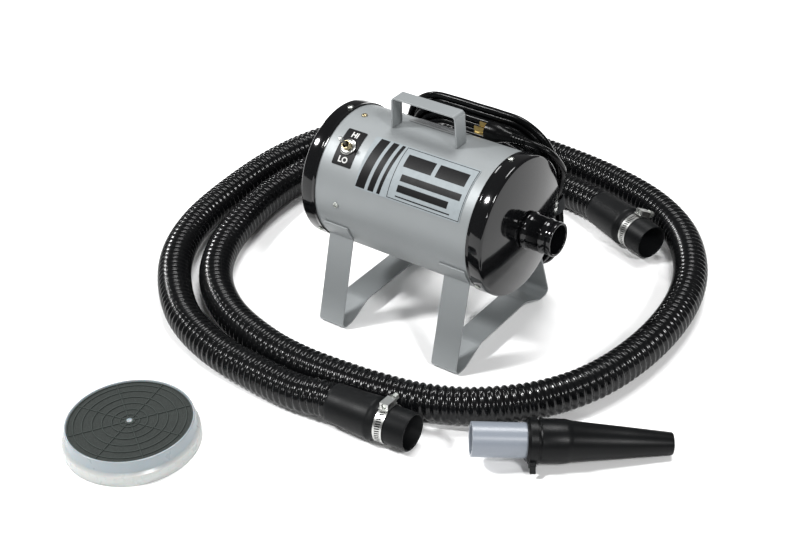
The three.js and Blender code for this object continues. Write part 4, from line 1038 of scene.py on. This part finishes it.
class DRYER_OT_handle_and_legs(bpy.types.Operator):
    """Makes the bent straps: the carry handle and the two legs"""
    bl_idname = "dryer.handle_and_legs"
    bl_label = "Handle and legs"

    def execute(self, context):
        self.handle()
        for name, middle in LEG_MIDDLES.items():
            self.leg(name, middle)
        return {"FINISHED"}

    def handle(self):
        top = DRUM_RADIUS + HANDLE_RISE - HANDLE_THICKNESS / 2
        half = (HANDLE_SPAN - HANDLE_THICKNESS) / 2
        foot = DRUM_RADIUS + 0.3
        path = rounded([
            (HANDLE_MIDDLE - half - 1.6, foot), (HANDLE_MIDDLE - half, top, 4.5),
            (HANDLE_MIDDLE + half, top, 4.5), (HANDLE_MIDDLE + half + 1.6, foot),
        ])
        place = basis((1, 0, 0), (0, 0, 1), (0, -1, 0), (0, 0, AXIS_HEIGHT))
        piece("handle_strap", strap(path, HANDLE_WIDTH, HANDLE_THICKNESS, place), "dryer", "silver",
              ["carry_handle"], edge=0.45)

    def leg(self, name, middle):
        r = DRUM_RADIUS + 0.4 + LEG_THICKNESS / 2

        def on_drum(angle):
            a = math.radians(angle)
            return (r * math.sin(a), AXIS_HEIGHT + r * math.cos(a))

        half = [on_drum(angle) for angle in range(108, 124, 2)]
        half += [(*on_drum(124), 4), (112, 1, 7), (90, 1, 24), (54, 17.5, 24)]
        mirrored = [(-corner[0], *corner[1:]) for corner in reversed(half)]
        path = rounded([*half, *mirrored], 8)
        place = basis((0, 1, 0), (0, 0, 1), (1, 0, 0), (middle, 0, 0))
        piece(f"{name}_strap", strap(path, LEG_WIDTH, LEG_THICKNESS, place), "dryer", "silver",
              [name], edge=0.4, angle=40)


def strap(path, width, thickness, place):
    """A bent strap whose middle follows the path."""
    bm = bmesh.new()
    row = None
    for i, here in enumerate(path):
        here = Vector(here[:2])
        back = Vector(path[max(i - 1, 0)][:2])
        ahead = Vector(path[min(i + 1, len(path) - 1)][:2])
        into = (here - back).normalized() if i else (ahead - here).normalized()
        out = (ahead - here).normalized() if i < len(path) - 1 else into
        tangent = (into + out).normalized()
        reach = thickness / 2 / max(tangent.dot(into), 0.3)
        normal = Vector((-tangent.y, tangent.x)) * reach
        corners = [(here + normal * n, side * width / 2) for n, side in ((1, -1), (1, 1), (-1, 1), (-1, -1))]
        verts = [bm.verts.new((p.x, p.y, z)) for p, z in corners]
        if row is None:
            bm.faces.new(verts)
        else:
            edges = [bm.edges.get((a, b)) or bm.edges.new((a, b)) for ring in (row, verts)
                     for a, b in zip(ring, [*ring[1:], ring[0]])]
            bmesh.ops.bridge_loops(bm, edges=edges)
        row = verts
    bm.faces.new(row)
    return settled(bm, place)


# ---------------------------------------------------------------- switch and labels
def wrapped(outline, x, angle, lift, thickness):
    """A flat outline laid round the drum: its own +X runs along the drum and +Y towards the top."""
    bm = bmesh.new()
    face = bm.faces.new([bm.verts.new((px, py, 0)) for px, py in outline])
    if face.normal.z < 0:
        bmesh.ops.reverse_faces(bm, faces=[face])
    return wrap_mesh(bm, x, angle, lift, thickness)


def wrap_mesh(bm, x, angle, lift, thickness):
    """Flat faces cut into strips, given a thickness and bent round the drum at its (x, angle)."""
    low = min(v.co.y for v in bm.verts)
    high = max(v.co.y for v in bm.verts)
    for k in range(math.ceil(low / 2), math.ceil(high / 2)):
        bmesh.ops.bisect_plane(bm, geom=[*bm.verts, *bm.edges, *bm.faces], plane_co=(0, k * 2, 0),
                               plane_no=(0, 1, 0))
    bmesh.ops.recalc_face_normals(bm, faces=bm.faces)
    made = bmesh.ops.extrude_face_region(bm, geom=bm.faces)["geom"]
    top = [v for v in made if isinstance(v, bmesh.types.BMVert)]
    bmesh.ops.translate(bm, vec=(0, 0, thickness), verts=top)
    bmesh.ops.recalc_face_normals(bm, faces=bm.faces)
    radius = DRUM_RADIUS + lift
    for vert in bm.verts:
        a = math.radians(angle) - vert.co.y / radius
        out = radius + vert.co.z
        vert.co = Vector((x + vert.co.x, -out * math.sin(a), AXIS_HEIGHT + out * math.cos(a)))
    return placed(bm, upright(0, 0))


def rectangle(x0, y0, x1, y1, slant=0.0):
    return [(x0, y0), (x1, y0), (x1 + slant, y1), (x0 + slant, y1)]


def mark(text, size, y):
    """Lettering as flat faces, centred on (0, y)."""
    curve = bpy.data.curves.new("mark", "FONT")
    curve.body = text
    curve.size = size
    curve.align_x = "CENTER"
    curve.align_y = "CENTER"
    curve.resolution_u = 4
    curve.offset = size * 0.03
    obj = bpy.data.objects.new("mark", curve)
    bpy.context.scene.collection.objects.link(obj)
    view = bpy.context.evaluated_depsgraph_get()
    mesh = bpy.data.meshes.new_from_object(obj.evaluated_get(view))
    bm = bmesh.new()
    bm.from_mesh(mesh)
    bpy.data.objects.remove(obj)
    bpy.data.curves.remove(curve)
    bpy.data.meshes.remove(mesh)
    bmesh.ops.translate(bm, vec=(0, y, 0), verts=bm.verts)
    return bm


class DRYER_OT_switch(bpy.types.Operator):
    """Makes the switch's marked plate, its bushing and nut, and the toggle lever"""
    bl_idname = "dryer.switch"
    bl_label = "Switch"

    def execute(self, context):
        outline = rounded_rectangle(15, 26, 1.6)
        plate = wrapped(outline, SWITCH_X, SWITCH_ANGLE, PLATE_LIFT, PLATE_THICKNESS)
        piece("switch_face", plate, "dryer", "black_print", ["switch_plate"])
        marks = []
        for text, y in (("HI", 18.0), ("LO", -18.0)):
            marks.append(wrap_mesh(mark(text, 11, y), SWITCH_X, SWITCH_ANGLE, PRINT_LIFT, PRINT_THICKNESS))
        piece("switch_marks", gathered(marks), "dryer", "white_print")
        at = stand_off(SWITCH_X, SWITCH_ANGLE, DRUM_RADIUS)
        top = SWITCH_CASE_TOP
        bushing = [(5.9, top - 1), (5.9, 4.4)]
        for k in range(6):
            bushing += [(5.5, 4.7 + 0.8 * k), (5.9, 5.1 + 0.8 * k)]
        bushing += [(5.6, 9.5), (4.8, 9.5), (4.6, 9.1), (4.6, top - 1)]
        threads = turned(bushing, at, 64)
        case = block((16, 28, 15.6), (0, 0, top - 9.2), at)
        yoke = block((17.0, 24, 1.4), (0, 0, top - 0.7), at)
        tabs = [block((5, 0.9, 3.4), (0, y, top - 18.3), at) for y in (-9, 0, 9)]
        piece("switch_bushing", gathered([threads, case, yoke, *tabs]), "dryer", "tan",
              ["switch_body"], edge=0.4)
        nut = [(6.2, 1.1), (10.9, 1.1), (11, 1.3), (11, 2.2), (10.4, 2.8), (8.2, 3.5), (6.5, 3.7), (6.2, 3.6)]
        ring = turned(nut, at, 96)
        piece("switch_ring_nut", ring, "dryer", "steel", ["switch_nut"])
        ball = 2.6
        lever = [(0, -ball)]
        for k in range(1, 9):
            a = math.radians(-90 + 15 * k)
            lever.append((ball * math.cos(a), ball * math.sin(a)))
        lever += [
            (1.75, 6), (2.0, 14), (2.7, 22.6), (2.95, 24.4), (2.7, 25.9), (1.9, 26.8), (1.0, 27), (0, 27),
        ]
        bat = turned(lever, at, 48, closed=False)
        piece("toggle_bat", bat, "toggle", "steel", ["toggle_lever"], angle=60)
        return {"FINISHED"}


def rounded_rectangle(half_width, half_height, radius):
    corners = [(0, -half_height), (half_width, -half_height, radius), (half_width, half_height, radius),
               (-half_width, half_height, radius), (-half_width, -half_height, radius), (0, -half_height)]
    return [tuple(p) for p in rounded(corners, 5)][:-1]


class DRYER_OT_labels(bpy.types.Operator):
    """Makes the name label and the rating label, with plain bars where the print would be"""
    bl_idname = "dryer.labels"
    bl_label = "Labels"

    def execute(self, context):
        self.name_label()
        self.rating_label()
        return {"FINISHED"}

    def name_label(self):
        rear, front = NAME_LABEL_ENDS
        middle, half = (rear + front) / 2, (front - rear) / 2
        outline = rounded_rectangle(half, 36.5, 1.5)
        plate = wrapped(outline, middle, NAME_LABEL_ANGLE, PLATE_LIFT, PLATE_THICKNESS)
        piece("name_plate", plate, "dryer", "label_silver", ["name_label"])
        left, right, low, high = -30, half - 1, -35, 35
        line = 0.9
        shapes = [
            rectangle(left, low, right, low + line), rectangle(left, high - line, right, high),
            rectangle(left, low, left + line, high), rectangle(right - line, low, right, high),
        ]
        for x, width in ((-79, 14), (-60, 9), (-46, 5)):
            shapes.append(rectangle(x, low, x + width, high, 8))
        shapes += [rectangle(-22, 8, 20, 26), rectangle(26, 8, 70, 26)]
        for row, width in enumerate((90, 76)):
            y = -6 - row * 14
            shapes.append(rectangle(-18, y - 4.5, -18 + width, y + 4.5))
        shapes.append(rectangle(-18, -31, 64, -29.4))
        self.print_on("name_print", shapes, middle, NAME_LABEL_ANGLE)

    def rating_label(self):
        outline = rounded_rectangle(39, 16.5, 1)
        plate = wrapped(outline, RATING_LABEL_MIDDLE, RATING_LABEL_ANGLE, PLATE_LIFT, PLATE_THICKNESS)
        piece("rating_plate", plate, "dryer", "label", ["rating_label"])
        shapes = []
        rng = random.Random(5)
        for row in range(9):
            y = 13 - row * 3.1
            shapes.append(rectangle(-35, y, -35 + rng.uniform(38, 68), y + 1.0))
        self.print_on("rating_print", shapes, RATING_LABEL_MIDDLE, RATING_LABEL_ANGLE)

    def print_on(self, name, shapes, x, angle):
        prints = [wrapped(shape, x, angle, PRINT_LIFT, PRINT_THICKNESS) for shape in shapes]
        piece(name, gathered(prints), "dryer", "black_print")


# ---------------------------------------------------------------- nozzle and filter cap
def nozzle_frame():
    """Local +Z runs along the nozzle, which lies tilted on its sleeve's front edge and its tip."""
    taper = NOZZLE_SLEEVE_RADIUS - NOZZLE_TIP_RADIUS
    tilt = math.asin(taper / (NOZZLE_LENGTH - NOZZLE_SLEEVE_END))
    height = NOZZLE_SLEEVE_RADIUS + 0.15 + NOZZLE_SLEEVE_END * math.sin(tilt)
    flat = math.cos(tilt)
    direction = (flat * math.cos(NOZZLE_HEADING), flat * math.sin(NOZZLE_HEADING), -math.sin(tilt))
    return pointing((*NOZZLE_START, height), direction)


class DRYER_OT_nozzle(bpy.types.Operator):
    """Makes the nozzle's pipe, its tapered cone and the ratchet clamp"""
    bl_idname = "dryer.nozzle"
    bl_label = "Nozzle"

    def execute(self, context):
        at = nozzle_frame()
        pipe = turned([(17.5, 0.6), (18, 0), (20.7, 0), (21.1, 0.5), (21.1, 110), (17.5, 110)], at, 96)
        piece("nozzle_pipe", pipe, "nozzle", "pipe", ["nozzle_tube"])
        end = NOZZLE_LENGTH
        profile = [
            (21.4, 65.4), (22, 65), (24.4, 65), (25, 65.6), (25, 79.4), (25.3, 80.4), (26.2, 81.4),
            (26.5, 82.4), (26.5, 110.5), (26.2, 113), (25.3, 116.5), (24.6, 119), (19.3, 180),
            (13.9, end - 2), (13.6, end - 0.7), (13.0, end), (11.6, end), (11.0, end - 0.8), (19.1, 110.3),
            (21.4, 110.3),
        ]
        cone = turned(profile, at, 96)
        piece("nozzle_taper", cone, "nozzle", "nozzle", ["nozzle_cone"], angle=45)
        piece("ratchet_clamp", self.clamp(at), "nozzle", "nozzle", ["nozzle_clamp"],
              edge=0.4)
        return {"FINISHED"}

    def clamp(self, at):
        middle = NOZZLE_CLAMP_PLACE
        low, high = middle - 4.5, middle + 4.5
        ring = turned([(25.3, low), (27.7, low), (27.7, high), (25.3, high)], None, 96)
        jaw = block((5, 12, 8), (29.3, 0, middle))
        tab = block((13.5, 3, 7), (33.4, -3, middle))
        teeth = [block((1.6, 1.0, 7), (31.6, 4.8 - 1.6 * k, middle)) for k in range(4)]
        turn = Matrix.Rotation(math.radians(NOZZLE_TAB_ANGLE), 4, "Z")
        return placed(gathered([ring, jaw, tab, *teeth]), at @ turn)


class DRYER_OT_filter_cap(bpy.types.Operator):
    """Makes the filter cap: its stepped ring, the foam and the web over it"""
    bl_idname = "dryer.filter_cap"
    bl_label = "Filter cap"

    def execute(self, context):
        at = upright(*FILTER_CENTRE)
        ring = turned([
            (82.6, 0.5), (83, 0), (84.6, 0), (85, 0.5), (84.8, 7), (84.4, 13.5), (83.9, 14.5), (80.6, 16.5),
            (80.2, 17.6), (79.4, 31.4), (79.1, 32.4), (78.4, 32.8), (77.4, 32.8), (76.8, 32), (76.8, 14.6),
            (78, 13), (82.2, 10.8),
        ], None, 160)
        ribs = []
        for k in range(FILTER_RIBS):
            turn = Matrix.Rotation(math.tau * k / FILTER_RIBS, 4, "Z")
            ribs.append(block((1.0, 1.4, 13), (84.3, 0, 7), turn))
        low = 13.9
        spokes = [block((156, 3, 4), (0, 0, low)), block((3, 156, 4), (0, 0, low))]
        post = pin(2.6, low - 2, 31.6, 40)
        stud = turned([(0, 31), (3.6, 31), (3.6, 32.1), (2.6, 32.7), (0, 32.8)], None, 40, closed=False)
        whole = placed(gathered([ring, *ribs, *spokes, post, stud]), at)
        piece("filter_frame", whole, "filter_cap", "milky", ["filter_ring"], edge=0.15,
              angle=50)
        profile = [(2.9, 16.4), (76, 16.4), (76.4, 17), (76.5, 29.4), (75.8, 30.4), (2.9, 30.4)]
        foam = turned(profile, at, 128)
        pad = piece("filter_pad", foam, "filter_cap", "foam", ["filter_foam"])
        piece("filter_grid", self.web(at), "filter_cap", "web", ["filter_web"])
        return {"FINISHED"}

    def web(self, at):
        """Rings and spokes of equal width over the foam, with a washer round the post."""
        low, high = 30.7, 31.5
        half = 0.55

        def ring(inner, outer, segments):
            return turned([(inner, low), (outer, low), (outer, high), (inner, high)], None, segments)

        parts = [ring(radius - half, radius + half, 96) for radius in FILTER_WEB_RINGS]
        for k in range(8):
            turn = Matrix.Rotation(math.tau * k / 8 + 0.2, 4, "Z")
            parts.append(block((70, 2 * half, high - low), (40.5, 0, (low + high) / 2), turn))
        parts.append(ring(2.9, 6.5, 40))
        return placed(gathered(parts), at)


# ---------------------------------------------------------------- the pieces kept from the frame
KEPT = {
    "zinc": ("baffle_plate", "fan_housing"),
    "rubber": ("rubber_mount_ring",),
    "aluminium": ("impeller_1", "impeller_2", "diffuser", "motor_frame"),
    "steel": ("motor_shaft", "fan_end_bearing", "brush_end_bearing"),
    "iron": ("armature", "stator"),
    "copper": ("commutator",),
    "brass": ("brush_holder_1", "brush_holder_2", "plug_blade_1", "plug_blade_2", "plug_earth_pin"),
}


class DRYER_OT_lining(bpy.types.Operator):
    """Makes the foam lining inside the drum"""
    bl_idname = "dryer.lining"
    bl_label = "Foam lining"

    def execute(self, context):
        bm = bmesh.new()
        bm.from_mesh(frame["nodes"]["acoustic_foam"].data)
        settled(bm, merge=0.00001)
        bmesh.ops.dissolve_limit(bm, angle_limit=math.radians(1), verts=bm.verts, edges=bm.edges)
        lining = piece("foam_lining", bm, "dryer", "acoustic", ["acoustic_foam"],
                       edge=1.2, angle=50)
        return {"FINISHED"}


class DRYER_OT_blower(bpy.types.Operator):
    """Gives the blower's inner pieces and the plug's pins their finishes"""
    bl_idname = "dryer.blower"
    bl_label = "Blower and pins"

    def execute(self, context):
        for finish, nodes in KEPT.items():
            for node in nodes:
                materials = frame["nodes"][node].data.materials
                materials.clear()
                materials.append(FINISHES[finish])
        return {"FINISHED"}


# ---------------------------------------------------------------- the stage
CAMERA_PLACE = (0.9049, -1.4199, 1.2603)
CAMERA_AZIMUTH = math.radians(37.754)
CAMERA_ELEVATION = math.radians(34.148)
CAMERA_ROLL = math.radians(-2.738)


class DRYER_OT_stage(bpy.types.Operator):
    """Makes the camera, the floor and the lights"""
    bl_idname = "dryer.stage"
    bl_label = "Stage"

    def execute(self, context):
        make_finishes()
        self.camera()
        floor = bmesh.new()
        bmesh.ops.create_grid(floor, x_segments=2, y_segments=2, size=sizes().floor_size / 2)
        mesh = bpy.data.meshes.new("floor")
        floor.to_mesh(mesh)
        floor.free()
        mesh.materials.append(floor_finish())
        obj = bpy.data.objects.new("floor", mesh)
        context.scene.collection.objects.link(obj)
        world = bpy.data.worlds.new("studio")
        world.use_nodes = True
        sky = world.node_tree.nodes["Background"]
        sky.inputs["Color"].default_value = (1.0, 1.0, 1.0, 1.0)
        sky.inputs["Strength"].default_value = 0.16
        context.scene.world = world
        context.scene.view_settings.view_transform = "Standard"
        self.light("key", (-1.9, -1.5, 2.6), 3.1, 8)
        self.light("fill", (2.3, -0.9, 2.2), 1.9, 10)
        self.light("top", (-0.3, 1.2, 2.9), 2.3, 24)
        self.light("low_left", (-2.6, 0.6, 1.5), 0.5, 5)
        self.light("low_right", (1.2, -2.4, 1.7), 0.5, 5)
        return {"FINISHED"}

    def camera(self):
        a, e, roll = CAMERA_AZIMUTH, CAMERA_ELEVATION, CAMERA_ROLL
        back = Vector((math.sin(a) * math.cos(e), -math.cos(a) * math.cos(e), math.sin(e)))
        right = Vector((0, 0, 1)).cross(back).normalized()
        up = back.cross(right)
        x = right * math.cos(roll) + up * math.sin(roll)
        y = up * math.cos(roll) - right * math.sin(roll)
        place = point(CAMERA_PLACE)
        camera = bpy.data.objects.new("camera", bpy.data.cameras.new("camera"))
        camera.data.lens = 72
        camera.data.sensor_width = 36
        camera.data.clip_end = 100
        camera.matrix_world = Matrix([[x[i], y[i], back[i], place[i]] for i in range(3)] + [[0, 0, 0, 1]])
        bpy.context.scene.collection.objects.link(camera)
        bpy.context.scene.camera = camera

    def light(self, name, place, strength, spread):
        """A far, soft lamp in the direction of place; spread is its width in degrees."""
        data = bpy.data.lights.new(name, "SUN")
        data.energy = strength
        data.angle = math.radians(spread)
        lamp = bpy.data.objects.new(name, data)
        lamp.location = point(place)
        lamp.rotation_euler = Vector(place).to_track_quat("Z", "Y").to_euler()
        bpy.context.scene.collection.objects.link(lamp)


STEPS = (
    DRYER_OT_stage, DRYER_OT_power_cord, DRYER_OT_cuffs, DRYER_OT_hose, DRYER_OT_drum, DRYER_OT_caps,
    DRYER_OT_outlet, DRYER_OT_screws, DRYER_OT_handle_and_legs, DRYER_OT_switch, DRYER_OT_labels,
    DRYER_OT_nozzle, DRYER_OT_filter_cap, DRYER_OT_lining, DRYER_OT_blower,
)


class DRYER_PT_panel(bpy.types.Panel):
    """Lists the steps in the order that they run"""
    bl_idname = "DRYER_PT_panel"
    bl_label = "Pet dryer"
    bl_space_type = "VIEW_3D"
    bl_region_type = "UI"
    bl_category = "Dryer"

    def draw(self, context):
        for step in STEPS:
            self.layout.operator(step.bl_idname)


CLASSES = (DryerSizes, DryerColours, *STEPS, DRYER_PT_panel)


def register():
    for cls in CLASSES:
        bpy.utils.register_class(cls)
    bpy.types.Scene.dryer_sizes = bpy.props.PointerProperty(type=DryerSizes)
    bpy.types.Scene.dryer_colours = bpy.props.PointerProperty(type=DryerColours)


def unregister():
    del bpy.types.Scene.dryer_colours
    del bpy.types.Scene.dryer_sizes
    for cls in reversed(CLASSES):
        bpy.utils.unregister_class(cls)


def main():
    register()
    for step in STEPS:
        group, name = step.bl_idname.split(".")
        getattr(getattr(bpy.ops, group), name)()


if __name__ == "__main__":
    main()
